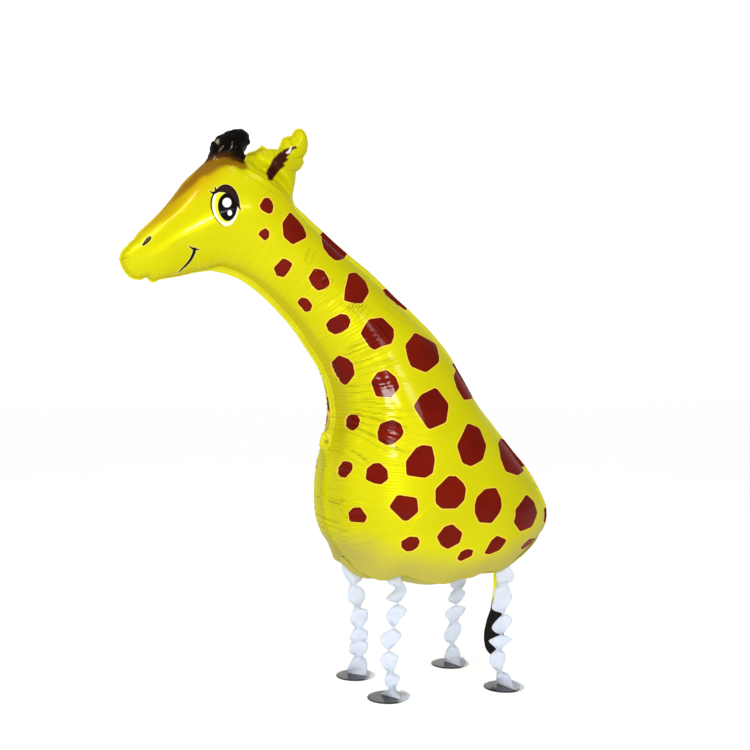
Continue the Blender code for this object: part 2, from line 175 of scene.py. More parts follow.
# How far the folds beside the belly seam reach, as a share of the way to the middle
BELLY_FOLD_REACH = 0.22
# How far from the tab the creases fan out from it, and how strongly
TAB_FAN = 0.09
TAB_PULL = 0.45
# Seeds of the left and right panels' creases, and how far they press the film out and in
CREASE_SEEDS = (41, 77)
CREASE_LIMITS = (-0.0015, 0.0042)
# Gathers in the head's outline: a pixel of the photograph, then depth and reach in metres
NOTCHES = (
    (289.2, 135, -0.0006, 0.0034), (277.5, 148.2, 0.0025, 0.0040), (266.8, 150.4, 0.0014, 0.0034),
    (262, 146.5, -0.0014, 0.0040), (284, 138, -0.0010, 0.0040), (301.3, 157.5, 0.0020, 0.0036),
    (296.5, 172.8, 0.0018, 0.0040), (302, 164.5, -0.0003, 0.0040),
    (215.8, 139.8, 0.0026, 0.0030), (223.5, 133.5, 0.0012, 0.0026), (248.2, 138.5, 0.0024, 0.0026),
    (246.8, 145, 0.0020, 0.0026), (123, 259.5, 0.0026, 0.0034), (127.5, 247.5, 0.0014, 0.0030),
    (145.8, 279.5, 0.0026, 0.0036), (159.5, 281, 0.0014, 0.0040), (134, 240, 0.0008, 0.0030),
)

# Fine gathers that run in from the seam: how far, in metres, and how strong
FRONT_GATHERS = {"throat": (0.120, 1), "tab": (0.110, 1), "chest": (0.060, 0.9)}
GATHERS = {
    "jaw": (0.016, 0.6), "nose": (0.008, 0.3), "horn": (0.010, 0.1), "ear front": (0.010, 0.3),
    "ear tip": (0.008, 0.25), "ear back": (0.010, 0.3), "back": (0.016, 0.8), "belly": (0.026, 0.5),
}
# Share of the way from the belly to the head, and how strong the front's gathers are there
FADE_PLACES = (0, 0.62, 0.78, 1)
FADE_STRENGTHS = (1, 1, 0.55, 0.12)
# The short bars across the front's gathers: their spacing in metres, and how far they wander
LADDER = 0.0042
LADDER_WANDER = 8.0

# Pixels of the photograph: the corners of the giraffe's spots
SPOTS = (
    ((263.6, 198.2), (268.5, 197.7), (271.8, 201.9), (273.3, 206.5), (272.3, 212.4), (268.5, 214.4),
     (261.1, 210.2), (259, 205.9)),
    ((265.6, 227.8), (269.3, 231.7), (269, 237.7), (264.5, 241.1), (257.9, 234.6), (260, 231)),
    ((289.7, 211.7), (297.5, 219.7), (303.4, 227.1), (306.3, 234.6), (305.9, 238), (292.3, 244.9),
     (283.4, 237.1), (281.9, 223.1)),
    ((322.4, 231), (326, 228), (336, 233), (350, 249), (344.6, 258.4), (338.8, 260.6),
     (334.5, 260.2), (329.6, 256.1), (323.7, 248.6), (320.6, 239.8)),
    ((282.6, 258.2), (287.3, 259.6), (292.8, 263.7), (289.6, 270.4), (283.9, 277.5), (276, 276.1),
     (273.3, 267.9)),
    ((314.4, 267.9), (323.9, 270.4), (327.4, 276.4), (329.8, 281.7), (329.4, 285.3), (324.5, 289.1),
     (317.8, 290.9), (312.2, 285.9), (308, 277.7)),
    ((348.4, 273.3), (355.8, 272.3), (365.5, 281.5), (369.4, 291.8), (362, 303.6), (353.9, 303.2),
     (343.7, 300.8), (344.9, 288.4), (346.8, 281.1)),
    ((301, 297.3), (307.3, 298.2), (312.8, 305.2), (310, 311.5), (305, 312.3), (296.2, 302.4)),
    ((341.2, 313.5), (347.4, 314.9), (351, 320.6), (348.8, 327.5), (341.9, 332.4), (335.2, 334.7),
     (328.2, 331.2), (325.4, 324.6), (329.6, 319)),
    ((369.2, 319), (382.1, 317.2), (393.8, 328.5), (394.2, 336), (391.6, 343.7), (380.7, 346.8),
     (374.7, 350.1), (369.8, 347.6), (360.1, 333.3), (365.7, 323.7)),
    ((384.9, 287.5), (408, 304), (406, 311), (400, 306.4), (392, 300.9), (384, 294.7)),
    ((415, 332), (434.4, 343.6), (439.3, 356), (438.8, 362.6), (426, 372.8), (410.8, 366.5),
     (407.3, 357.1), (405, 345)),
    ((328.4, 363), (337.6, 355.2), (347.7, 358.5), (352.9, 363.3), (354.3, 373.8), (345.5, 386),
     (337.2, 381.6), (330.2, 371)),
    ((370.8, 381.9), (377.1, 372.4), (386.7, 369.7), (396.1, 377.1), (399.8, 387.6), (391.5, 397.6),
     (376, 396.6), (373.6, 389.9)),
    ((453.5, 361), (463, 370), (474, 392), (471, 399), (463.8, 400.2), (456.6, 388.3),
     (453.6, 377.8)),
    ((436, 387.1), (448.9, 404), (446.3, 422.5), (428.4, 430), (413.1, 406.5), (420.7, 394.6)),
    ((467.3, 422.8), (479.4, 427.8), (486.4, 445.5), (482.7, 459.9), (470.8, 466.6), (462.2, 463.1),
     (456.6, 445.5)),
    ((499.6, 438), (514, 443), (530, 464), (518, 475.8), (505.3, 471.4), (500.7, 459.6),
     (497.7, 443)),
    ((422.5, 444.8), (432.1, 446), (435, 459.6), (433, 473.1), (425.3, 478.2), (406.6, 475.5),
     (405.7, 461.1), (415.9, 447.6)),
    ((347.4, 413.9), (356.5, 414.8), (359.9, 420.2), (358.4, 426.9), (352.2, 431.4), (342, 426.2),
     (341.2, 418.6)),
    ((380.1, 423.6), (392.5, 419.3), (400.9, 423.6), (403.9, 432.2), (401.9, 437), (394.4, 443.6),
     (386.8, 445.5), (378.2, 440.7), (377.2, 432.2)),
    ((345.4, 460.9), (353, 462.6), (354.8, 469.4), (346, 479.6), (337.6, 474.6), (336.8, 468)),
    ((373.7, 463.4), (380.4, 462.8), (388.1, 469.9), (389.1, 479.5), (382.4, 484.9), (375.6, 483.9),
     (367.1, 480.1), (367.5, 469)),
    ((448.5, 475.7), (456.2, 476.1), (463.2, 482.8), (466, 488.4), (464.3, 500), (456.2, 508.7),
     (441.3, 508.7), (435.3, 503.1), (435.3, 489)),
    ((397.7, 494.7), (417.2, 497.6), (418.7, 511.9), (408.3, 520.9), (403.4, 520.9), (389.5, 507.1)),
    ((484.9, 488.7), (496, 487.6), (500.8, 498.2), (501.6, 506.8), (499.2, 513), (491.4, 523.2),
     (478.8, 522.4), (474.4, 513), (474.4, 504.3), (476.8, 496.6)),
    ((526, 494), (533.6, 501.2), (537.1, 512.8), (531.2, 526.8), (519.4, 531.7), (513, 522),
     (515, 515.9), (514.9, 509.6)),
    ((354.2, 508.1), (362.4, 507.7), (368.8, 517.5), (366.4, 523.4), (352.4, 522.8), (348.5, 513.5)),
    ((452.3, 523.9), (462.5, 532.6), (459.3, 542.9), (447.2, 549.3), (440.4, 545.3), (436.1, 536.6),
     (444.2, 526.3)),
    ((409, 536.3), (417.5, 536.8), (419.6, 541.4), (417.6, 547.1), (411.9, 551.5), (406.1, 551.9),
     (400.7, 547.1), (401.2, 541.2)),
    ((466.7, 548.8), (473.2, 550), (471.5, 556.7), (460.6, 562.2), (456.4, 558.9), (460.4, 551.6)),
    ((496.6, 535.4), (506.1, 539.4), (504.5, 543.6), (499.1, 551.4), (489.7, 556.1), (483.5, 554),
     (490.9, 540.2)),
    ((529.4, 538.5), (534.5, 537.3), (532.3, 544.4), (522.9, 550.4), (521.4, 548.1), (524.6, 543.3)),
    ((543.8, 509), (546, 506), (551, 510), (551, 523), (545, 524), (543.6, 516)),
)
# Spots that only the right panel has, drawn like the profile: middle and half sizes
RIGHT_ONLY_SPOTS = ((-138, 213, 10, 21), (-147, 131, 4, 5))
RIGHT_BACK_CLEAR = 0.013
# Print distances on steep film grow with its slope, up to this share of facing sideways
STEEPEST = 0.4
# How far from a printed shape its distance is measured, in metres and in millimetres
INK_REACH = 0.008
NO_INK = INK_REACH * 1000
BELOW_HORN = -30.0
BELLY_PRINT = {"ridge": 0.0, "horn_base": 0.0, "horn": BELOW_HORN}
RIDGE_REACH = 0.0165
HORN_BAND_REACH = 0.0085

# Pixels of the photograph: the printed face, with a painted reflection in the eye and painted highlights
# on the ear and horn
EYE_WHITE = (
    (213.6, 193.9), (212, 198.6), (211.5, 203), (211.8, 208), (212.9, 212), (215, 216.5),
    (217.7, 220.6), (220.6, 223.9), (223.5, 225.9), (227.5, 226.3), (231.5, 224.4), (235, 220),
    (237.1, 214.8), (238.2, 210), (238.3, 206), (235, 200), (228, 193), (219.6, 192.6))
EYE_IRIS = (
    (224.6, 192.6), (219.5, 192.9), (216, 195), (214.5, 200), (214, 204), (214.4, 209),
    (215.8, 213.4), (218, 217.8), (221, 221.2), (225, 223), (231, 221.5), (232, 205))
EYE_PUPIL = (
    (224.6, 193.2), (222.3, 195), (219.6, 197.7), (218.1, 201.3), (217.4, 205.3), (217.6, 209.3),
    (219, 213.8), (221, 217.3), (224.1, 220.4), (227.7, 221.6), (231.3, 220.2), (233.9, 217.3),
    (235.7, 213.8), (236.6, 210.2), (237.3, 206.5), (236, 199), (231, 194))
EYE_LID = (
    (213.4, 193.4), (215.2, 191.4), (217, 188.7), (219.6, 186.3), (222.3, 185), (225.4, 184.5),
    (229, 185.4), (232.1, 187.2), (234.8, 190.1), (237.1, 194.1), (238.6, 198.6), (239.3, 202.1),
    (239.7, 205.7), (240.4, 208.8), (241.6, 210.8), (240, 210.3), (238.6, 208.6), (237.3, 207.2),
    (235, 203), (231, 197.5), (227, 194), (223.4, 192.6), (219, 192.4), (215.6, 193),
    (213.9, 194.6))
EYE_LINE = (
    (213.4, 193.8, 1.3), (211.3, 198.6, 1.3), (210.7, 203, 1.3), (211, 207.9, 1.2),
    (212.2, 212.2, 1), (214, 216.2, 0.8), (217, 220.7, 0.7), (220.6, 224.4, 0.6),
    (223.2, 226.5, 0.3))
LASHES = (
    ((213.4, 193.6, 2.2), (211, 192.6, 1.5), (208.9, 190.4, 0.4)),
    ((216, 191.4, 2.2), (214.8, 188.9, 1.3), (214.7, 186.4, 0.4)),
    ((214, 193, 2.6), (216.6, 191.4, 3)),
)
EYE_GLINTS = ((226.6, 202.8, 4.4, 4.7), (229.5, 213.1, 2.2, 2.7))
EYE_CORE = ((226.6, 203, 2.2, 2.7),)
# Painted reflection: a grey band across the pupil
PAINTED_EYE_REFLECTION = ((219, 213.2, 1.4), (223, 211.9, 1.2), (227, 210.6, 0.8), (233.5, 209.2, 0.3))
NOSTRIL = (
    (141.2, 245.6), (142.2, 246.3), (145.4, 245), (149.2, 241.6), (151.2, 238.2), (150.8, 236.3),
    (149, 236), (146, 238.2), (143.2, 241.8))
MOUTH = (
    ((194.3, 249.2, 3), (193.6, 252.5, 2.8), (192.2, 256, 2.7), (190.2, 259.8, 2.5),
     (187.2, 263.6, 2.2), (183.5, 267.4, 1.9), (180, 270.4, 1.6), (175.6, 273.6, 0.8)),
    ((188.8, 245.9, 0.8), (190.8, 247.8, 1.4), (193.6, 249.2, 2), (196.4, 249.6, 1.5),
     (199.2, 249.6, 0.7)),
)
INNER_EAR = (
    (266.4, 177.4), (267.2, 172), (268.6, 167.2), (271.1, 161.3), (274.4, 157.2), (278.6, 153.5),
    (282.6, 150.6), (289.5, 147.7), (295.4, 147.2), (295.6, 148.9), (291.6, 150.2), (289.8, 153.2),
    (284.2, 159), (288.2, 159.6), (281.6, 164.6), (284.8, 165.6), (277.6, 171.2), (274, 177.4),
    (270.6, 181.6), (267.4, 180.4))
# Painted highlight: a white streak along a crease near the ear's tip
PAINTED_EAR_GLINTS = (
    ((285.4, 153.9, 1.2), (287.6, 152.9, 2.4), (289.6, 149.6, 1.6), (290.4, 146.6, 0.8)),
)
# Painted highlights: pale streaks on the horn's creases and on the crumples at its base
PAINTED_HORN_GLINTS = (
    ((217, 153.2, 0.1), (219.3, 150, 0.8), (223.2, 146, 0.1)),
    ((231.8, 140.8, 0.1), (230.8, 146.5, 0.7), (229, 151.6, 0.1)),
    ((214.8, 143.8, 0.1), (215.7, 141.6, 0.6), (217.6, 139.4, 0.1)),
    ((227.4, 165, 0.1), (229.2, 167.8, 0.7), (229, 170, 0.1)),
    ((231.6, 168, 0.1), (232.4, 171.4, 0.7), (231.8, 175, 0.1)),
    ((245.2, 175.6, 0.1), (246.4, 178.6, 0.7), (245.4, 181.2, 0.1)),
)
# The printed face, with its painted reflection and highlights, by their fields: rings with their rounds
# of softening, strokes and ovals
FACE_RINGS = {
    "eye_white": (EYE_WHITE, 2), "eye_iris": (EYE_IRIS, 2), "eye_pupil": (EYE_PUPIL, 2),
    "eye_lid": (EYE_LID, 1), "nostril": (NOSTRIL, 2), "inner_ear": (INNER_EAR, 1),
}
FACE_STROKES = {
    "eye_line": (EYE_LINE,), "painted_eye_reflection": (PAINTED_EYE_REFLECTION,), "lash": LASHES,
    "mouth": MOUTH, "painted_ear_glint": PAINTED_EAR_GLINTS, "painted_horn_glint": PAINTED_HORN_GLINTS,
}
FACE_OVALS = {"eye_glint": EYE_GLINTS, "eye_core": EYE_CORE}
# Boxes around the fine print, where the mesh is finer
FACE_BOXES = ((206, 182, 244, 229), (139, 234, 153, 248), (174, 243, 201, 275), (264, 144, 298, 184))

# Pixels of the photograph: the brown shading along the forehead and the nose
RIDGE_SHADE = (
    (129, 243, 0.15), (143, 228.5, 0.35), (157.5, 215, 0.75), (172, 200.5, 0.9),
    (188, 185, 1), (200, 172, 1), (209, 163, 1))
HORN_BASE = ((200, 163), (206, 163), (211, 162), (219, 159.6), (228, 159.4),
             (236, 161.6), (243, 165))
HORN_BAND = ((203, 172), (213, 165), (223, 161.5), (234, 163), (240, 166))

# Pixels of the photograph: the horn's back edge, upwards, where the ear's film begins
HORN_BACK = ((243, 172), (243.6, 158), (245.6, 151.5), (254, 147), (256, 124))

# Single creases of the head, read in pixels: start, end, depth and half width in metres
HEAD_CREASES = (
    ((288.5, 134), (292.5, 149.5), 0.0040, 0.0026),
    ((277.3, 147), (284, 158), 0.0034, 0.0026),
    ((302.5, 157), (289, 161.5), 0.0034, 0.0026),
    ((298, 173.5), (285, 169), 0.0032, 0.0026),
    ((292.5, 141), (286.5, 152), 0.0020, 0.0022),
    ((270, 150.5), (275.5, 163), 0.0020, 0.0026),
    ((259, 148), (263, 160), 0.0018, 0.0028),
    ((266.5, 151), (270, 159.5), 0.0018, 0.0024),
    ((256, 166), (268, 168), 0.0012, 0.0024),
    ((250, 164), (256.5, 173), 0.0016, 0.0020),
    ((120.5, 258.5), (133.5, 260.5), 0.0024, 0.0026),
    ((124, 250.5), (134, 251), 0.0016, 0.0022),
    ((146.5, 279), (148.5, 272), 0.0022, 0.0028),
    ((158.5, 281), (156.5, 275.5), 0.0014, 0.0028),
    ((216.5, 139), (214.5, 163), 0.0042, 0.0034),
    ((232.5, 130), (228, 157), 0.0040, 0.0036),
    ((249, 138.5), (239, 149), 0.0030, 0.0030),
    ((212, 157), (222, 151), 0.0012, 0.0022),
    ((216, 163.5), (230, 158), 0.0012, 0.0018),
    ((228, 162.5), (230, 174), 0.0010, 0.0018),
    ((238.5, 160), (243.5, 172.5), 0.0012, 0.0018),
)
# Long single folds of the body: start and end as pixels of the photograph, and strength
FOLD_LINES = (
    ((345, 412), (409, 428.5), 1), ((345, 424), (405.5, 453), 1),
    ((345, 446), (371.5, 463.5), 0.9), ((341, 397.5), (396, 399), 0.5),
    ((343, 386), (392, 383), 0.6), ((350, 404), (403, 411), 0.4),
    ((374.7, 322), (392, 342.5), 1), ((385, 302), (410, 322), 0.5),
    ((352, 311), (362, 299.5), 0.8), ((346, 309), (355.5, 298), 0.7),
    ((357, 316.5), (367, 304), 0.7), ((340, 351), (380, 336), 0.6),
    ((344, 361), (384, 345), 0.6), ((350, 371), (397, 357), 0.6),
    ((322, 284.5), (328.5, 277), 1), ((303.5, 262), (309, 247), 0.6),
    ((318, 492), (348, 502), 0.9), ((317, 502), (349, 509.5), 0.6),
    ((318, 519), (350, 526), 0.8), ((321, 533), (352, 537), 0.7),
    ((420, 351.5), (414, 362), 0.5), ((442, 348), (448, 362), 0.7),
    ((433, 343), (428.5, 352), 0.8), ((527, 480), (537, 490), 0.8),
    ((531.5, 476), (539.5, 488), 0.8), ((240, 167), (284, 196), 0.7),
)
# How far a fold reaches to its sides, and the distance that stands for no fold, in millimetres
FOLD_REACH = 9
NO_FOLD = 20.0

# Legs and feet: the frame's sizes, with thinner paper
STRIP_WIDTH = 0.025
PAPER = 0.00035
STRIP_CUP = 0.0016
STRIP_ACROSS = 8
STRIP_STEPS = 9
FOOT_DIAMETER = 0.054
FOOT_THICKNESS = 0.0015
FOOT_SIDES = 72
FOOT_WARP = 0.00022
FOOT_RIM = 0.0004 / (FOOT_DIAMETER / 2)
# The card's section, from the top over the rim: shares of the radius and of the thickness
FOOT_SECTION = (
    (0.3, 1.0), (0.6, 1.0), (0.85, 1.0), (1.0 - FOOT_RIM, 1.0), (1.0 - 0.3 * FOOT_RIM, 0.9),
    (1.0, 0.72), (1.0, 0.28), (1.0 - 0.3 * FOOT_RIM, 0.1), (1.0 - FOOT_RIM, 0.0), (0.6, 0.0))
FLAP_LIFT = 0.0003
FLAP_WARP = 0.0006
FLAP_ROWS = 8
FEET = {
    "front_left": (-0.077, -0.0515),
    "front_right": (-0.0805, 0.056),
    "rear_left": (0.083, -0.066),
    "rear_right": (0.0655, 0.060),
}

# Pixels of the photograph: each strip's left and right edge from the belly down, and EDGE_ON
# where it is seen from its side, CROSSING where it turns over or GLUED where it meets the foot
FACING, EDGE_ON, CROSSING, GLUED = range(4)
STRIPS = {
    "front_right": (
        (341.5, 562, 357, 569), (343.5, 574, 362.5, 577),
        (350, 583.5, 356.3, 584.5, EDGE_ON),
        (348.3, 589, 362.5, 588.2), (348.2, 600, 365.2, 597),
        (354.3, 606.3, 360.5, 606.9, EDGE_ON),
        (352, 612, 367.3, 610.3), (350.2, 621.5, 367.6, 619),
        (355, 627.3, 362.8, 627.3, EDGE_ON),
        (351.8, 631.8, 367.8, 631.2), (349.2, 638.3, 367.4, 638.3),
        (351.8, 640.8, 365.5, 640.8, EDGE_ON),
        (349.8, 643.8, 368.2, 643.2), (349.5, 652, 367, 650.5),
        (354.2, 655.8, 363, 655.8, EDGE_ON),
        (350.8, 661, 366.3, 659.8), (347.6, 668.5, 367.4, 667),
        (347.8, 672.8, 365.7, 675.8, GLUED)),
    "front_left": (
        (385.5, 577, 400, 575), (388, 583, 402.5, 582),
        (395.6, 588.3, 406.8, 589.9, EDGE_ON), (386.2, 598.6, 404.2, 596.5),
        (397.5, 603.2, 398, 603, CROSSING),
        (389, 609.5, 405.5, 608.2), (386.2, 616, 406.8, 611.8),
        (388, 621.5, 400.5, 619),
        (393.5, 627.5, 396, 625.5, CROSSING),
        (382.5, 634, 400.5, 632.5), (380.1, 640, 401.1, 636.5),
        (384, 646.8, 396, 643.8),
        (388.9, 650.2, 389.3, 650, CROSSING),
        (382, 656, 397.2, 655), (380.2, 661.2, 398.1, 658.2),
        (383.8, 668, 395.3, 667),
        (387.5, 672, 393.7, 672, EDGE_ON),
        (384.4, 678, 399.8, 677), (386, 685.8, 397.5, 684),
        (388.4, 688.6, 396, 688.8, EDGE_ON),
        (380.8, 694, 402.5, 700, GLUED)),
    "rear_right": (
        (448.5, 578, 467.5, 573.5), (450.3, 584.6, 466, 580.5),
        (453.6, 588.5, 462.2, 588.3, EDGE_ON),
        (450, 594.5, 465.2, 592.2), (448.5, 600.5, 463, 598),
        (455.6, 604.4, 457, 604, CROSSING),
        (448.8, 608.8, 463, 606.4), (445, 613.8, 465.4, 609.4),
        (448, 619.5, 459.8, 617.5),
        (449.9, 622.2, 458, 621, EDGE_ON),
        (447, 628, 460.8, 625.5), (444.1, 634.2, 461.1, 631.2),
        (445.3, 640.5, 457.8, 637.5),
        (450.2, 644.3, 454, 643.6, EDGE_ON),
        (446.2, 650, 458.5, 648.6), (444.3, 657, 460.2, 656),
        (444.4, 661, 459.8, 666, GLUED)),
    "rear_left": (
        (495.3, 564.5, 508.5, 563.5), (495.6, 572.5, 514.2, 574.5),
        (496.5, 580.5, 512.3, 580.5),
        (497, 584, 508, 583.8, EDGE_ON),
        (494.6, 589.5, 510.5, 591), (494, 598, 511.8, 598.5),
        (492, 608.8, 506.5, 608),
        (503.3, 613.4, 504.2, 613, CROSSING),
        (498, 618.7, 510.5, 616.5), (491.8, 627.2, 512, 621.7),
        (495.8, 632.6, 506, 630),
        (501.6, 634.4, 502.3, 634, CROSSING),
        (494, 637.6, 508, 636.5), (488.8, 641, 511.8, 639.7),
        (494, 646.6, 505, 645.2),
        (496, 649.6, 501.3, 649.2, EDGE_ON),
        (490.8, 654.5, 504.8, 653.5), (489.2, 661.2, 505.4, 659),
        (493, 667.6, 503, 666),
        (497, 671.2, 502.3, 671, EDGE_ON),
        (496, 676.5, 509.7, 675.5),
        (497, 683, 514, 689.6, GLUED)),
}
# Pixels of the photograph: the loose white end of each strip, on its foot
FLAPS = {
    "front_right": ((362.5, 670.5), (367, 670), (371, 673.5), (370, 676), (365.5, 676.6)),
    "front_left": ((400, 691), (405.5, 691.5), (410.8, 695), (409, 698.6), (402.5, 700.6)),
    "rear_right": ((459, 657.5), (463, 658), (466.5, 661.8), (464, 665), (459.6, 666.6)),
    "rear_left": ((509, 680.5), (513.5, 680.3), (520.5, 685.5), (519, 688.8), (513.5, 690.4)),
}

# Tail, as in the frame's source
TAIL_LENGTH = 0.133
TAIL_TUFT_WIDTH = 0.030
TAIL_PLACE = 0.102
TAIL_LEAN = 0.005
TAIL_ROWS = 60
TAIL_COLUMNS = 12
# Share of the tail's length, then its reach to the left and to the right as shares of the tuft's
TAIL_LEFT = (
    (0.0, -0.10), (0.30, -0.10), (0.45, 0.05), (0.53, 0.18), (0.62, 0.52), (0.74, 0.83),
    (0.82, 0.90), (0.90, 0.80), (0.94, 0.63), (0.97, 0.40), (1.0, 0.10))
TAIL_RIGHT = (
    (0.0, 0.72), (0.30, 0.78), (0.42, 0.82), (0.50, 0.95), (0.60, 1.10), (0.70, 1.22),
    (0.80, 1.20), (0.88, 1.00), (0.94, 0.60), (1.0, 0.05))

# Studio: the world's brightness behind the camera, at the sides and behind the giraffe
FRONT_LEVEL = 0.58
SIDE_LEVEL = 0.42
BACK_LEVEL = 1.05
# Where that brightness changes, by how far a direction follows the camera's: from, to, values
WORLD_STEPS = ((-0.6, -0.1, FRONT_LEVEL, SIDE_LEVEL), (0.80, 0.90, 0.0, BACK_LEVEL - SIDE_LEVEL))
FLOOR_REACH = 12.0
FLOOR_GLOW = 0.80
# Soft boxes: what they aim at, direction (right, up, towards the camera), distance, size, brightness
LIGHTS = {
    "Front box": ((-0.05, 0.0, 0.50), (-0.06, 0.14, 0.99), 2.3, (0.34, 0.24), 72.0),
    "Fill box": ((0.05, 0.0, 0.45), (0.36, 0.30, 0.88), 2.3, (0.50, 0.24), 15.0),
    "Side box": ((-0.1, 0.0, 0.55), (-0.70, 0.64, 0.32), 1.9, (0.22, 0.80), 22.0),
    "Top box": ((0.05, 0.0, 0.40), (0.42, 0.86, 0.30), 2.2, (0.8, 0.4), 5.0),
}


def linear(red, green, blue):
    """Turn screen values of 0 to 255 into scene colour."""
    values = [channel / 255.0 for channel in (red, green, blue)]
    return tuple(v / 12.92 if v <= 0.04045 else ((v + 0.055) / 1.055) ** 2.4 for v in values) + (1.0,)


# Drawing plane and outline

def drawn(points):
    """Turn drawing millimetres into the plane's metres."""
    scale = ENVELOPE_HEIGHT / DRAWN_HEIGHT
    return np.array(points, float) * scale + np.array([0.0, BELLY_CLEARANCE])


def through(points, steps):
    """Pass a smooth curve through places in the plane or in space."""
    points = np.array(points, float)
    ends = np.vstack([2 * points[0] - points[1], points, 2 * points[-1] - points[-2]])
    share = np.linspace(0.0, 1.0, steps, endpoint=False)[:, None]
    pieces = []
    for a, b, c, d in zip(ends[:-3], ends[1:-2], ends[2:-1], ends[3:]):
        pieces.append(0.5 * (2 * b + (c - a) * share + (2 * a - 5 * b + 4 * c - d) * share ** 2
                             + (3 * b - a - 3 * c + d) * share ** 3))
    return np.vstack(pieces + [points[-1:]])


def smooth_run(points, facet):
    """Pass a smooth curve through the points and cut it into equal steps."""
    fine = through(points, OUTLINE_STEPS)
    travelled = np.concatenate([[0.0], np.cumsum(np.linalg.norm(np.diff(fine, axis=0), axis=1))])
    steps = max(3, round(travelled[-1] / facet))
    wanted = np.linspace(0.0, travelled[-1], steps + 1)
    return np.column_stack([np.interp(wanted, travelled, fine[:, k]) for k in (0, 1)])[:-1]


def quads(first, second, count, closed=True):
    """Faces between two rows of vertices, given by their first numbers."""
    faces = []
    for k in range(count if closed else count - 1):
        n = (k + 1) % count
        faces.append([first + k, first + n, second + n, second + k])
    return faces


def oval(x, z, wide, high, count):
    """Points around an oval, from its middle and half sizes."""
    turns = np.linspace(0, 2 * pi, count, endpoint=False)
    return np.column_stack([x + wide * np.cos(turns), z + high * np.sin(turns)])


def ring_average(values, reach):
    """Average each value of a closed ring with its neighbours."""
    total = sum(np.roll(values, shift, axis=0) for shift in range(-reach, reach + 1))
    return total / (2 * reach + 1)


def unit(vectors):
    return vectors / np.maximum(np.linalg.norm(vectors, axis=-1), 1e-12)[..., None]


def in_chunks(work, points, size=1500):
    return np.concatenate([work(points[k:k + size]) for k in range(0, len(points), size)])


def inside(points, ring):
    """Say which points lie inside a closed ring, by counting crossings."""
    a = ring[None, :, :]
    b = np.roll(ring, -1, axis=0)[None, :, :]

    def crossings(part):
        x = part[:, None, 0]
        z = part[:, None, 1]
        spans = (a[..., 1] > z) != (b[..., 1] > z)
        rise = np.where(spans, b[..., 1] - a[..., 1], 1.0)
        crossing = a[..., 0] + (z - a[..., 1]) / rise * (b[..., 0] - a[..., 0])
        return (spans & (x < crossing)).sum(axis=1) % 2 == 1

    return in_chunks(crossings, points)


def nearest_on_line(points, line, closed):
    """Give each point's distance to a line and its place along it, counted in segments."""
    a = line if closed else line[:-1]
    b = np.roll(line, -1, axis=0) if closed else line[1:]
    run = b - a
    squared = np.maximum((run ** 2).sum(-1), 1e-16)

    def measure(part):
        share = np.clip(((part[:, None] - a) * run).sum(-1) / squared, 0, 1)
        away = np.linalg.norm(part[:, None] - a - share[..., None] * run, axis=-1)
        best = away.argmin(axis=1)
        rows = np.arange(len(part))
        return np.column_stack([away[rows, best], best + share[rows, best]])

    found = in_chunks(measure, points)
    return found[:, 0], found[:, 1]


def distance_to_line(points, line, closed=False):
    return nearest_on_line(points, line, closed)[0]


def signed_distance(points, ring):
    """Distance to a closed ring in millimetres, negative inside."""
    away = distance_to_line(points, ring, True) * 1000
    return np.where(inside(points, ring), -away, away)


def stroke_distance(points, line, widths):
    """Distance to a tapering stroke in millimetres, negative inside."""
    away, place = nearest_on_line(points, line, False)
    half = np.interp(place, np.arange(len(widths)), widths) / 2
    return (away - half) * 1000


def soft_corners(ring, rounds=2, cut=0.2):
    """Cut a ring's corners off, to round them."""
    for _ in range(rounds):
        after = np.roll(ring, -1, axis=0)
        pair = [ring * (1 - cut) + after * cut, ring * cut + after * (1 - cut)]
        ring = np.stack(pair, axis=1).reshape(-1, 2)
    return ring


def even_wave(places, seed, scale):
    """A smooth wave of even spread along a closed seam, from a few seeded sines."""
    rng = np.random.default_rng(seed)
    total = np.zeros(len(places))
    for _ in range(9):
        total += np.sin(2 * pi * (places / (scale * rng.uniform(0.6, 1.9)) + rng.uniform()))
    return total / 3


# The photograph's pixels on the frame

FORWARD = Vector((sin(VIEW_YAW), cos(VIEW_YAW), 0.0))
RIGHTWARD = Vector((cos(VIEW_YAW), -sin(VIEW_YAW), 0.0))
VIEWPOINT = -VIEW_DISTANCE * FORWARD + VIEW_SIDE * RIGHTWARD + Vector((0.0, 0.0, VIEW_HEIGHT))


def length_shift():
    """How far the frame moves the outline along X, to centre it."""
    edge = np.vstack([smooth_run(drawn(points), STEP) for _, _, points in PROFILE])
    return -(edge[:, 0].min() + edge[:, 0].max()) / 2


SHIFT = length_shift()
FRAME_TREE = BVHTree.FromObject(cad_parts[ENVELOPE], bpy.context.evaluated_depsgraph_get())


def view_ray(u, v):
    """The way from the camera to a pixel, one metre deep."""
    ray = FORWARD + RIGHTWARD * ((u - IMAGE / 2) / FOCAL_PIXELS)
    ray.z = (IMAGE / 2 - v) / FOCAL_PIXELS
    return ray


def flat(pixels):
    """Follow pixels to the frame's envelope, or else to its middle plane, and give X and Z."""
    places = []
    start = VIEWPOINT + Vector((SHIFT, 0.0, 0.0))
    for u, v in pixels:
        ray = view_ray(u, v)
        hit = FRAME_TREE.ray_cast(start, ray.normalized())[0]
        if hit is None:
            hit = start - ray * (start.y / ray.y)
        places.append((hit.x - SHIFT, hit.z))
    return np.array(places)


def flat_stroke(stroke):
    """A stroke's line and its widths in metres."""
    stroke = np.array(stroke)
    return flat(stroke[:, :2]), stroke[:, 2] * (VIEW_DISTANCE / FOCAL_PIXELS)


def flat_oval(u, v, wide, high):
    return flat(oval(u, v, wide, high, GLINT_SIDES))


# Envelope mesh

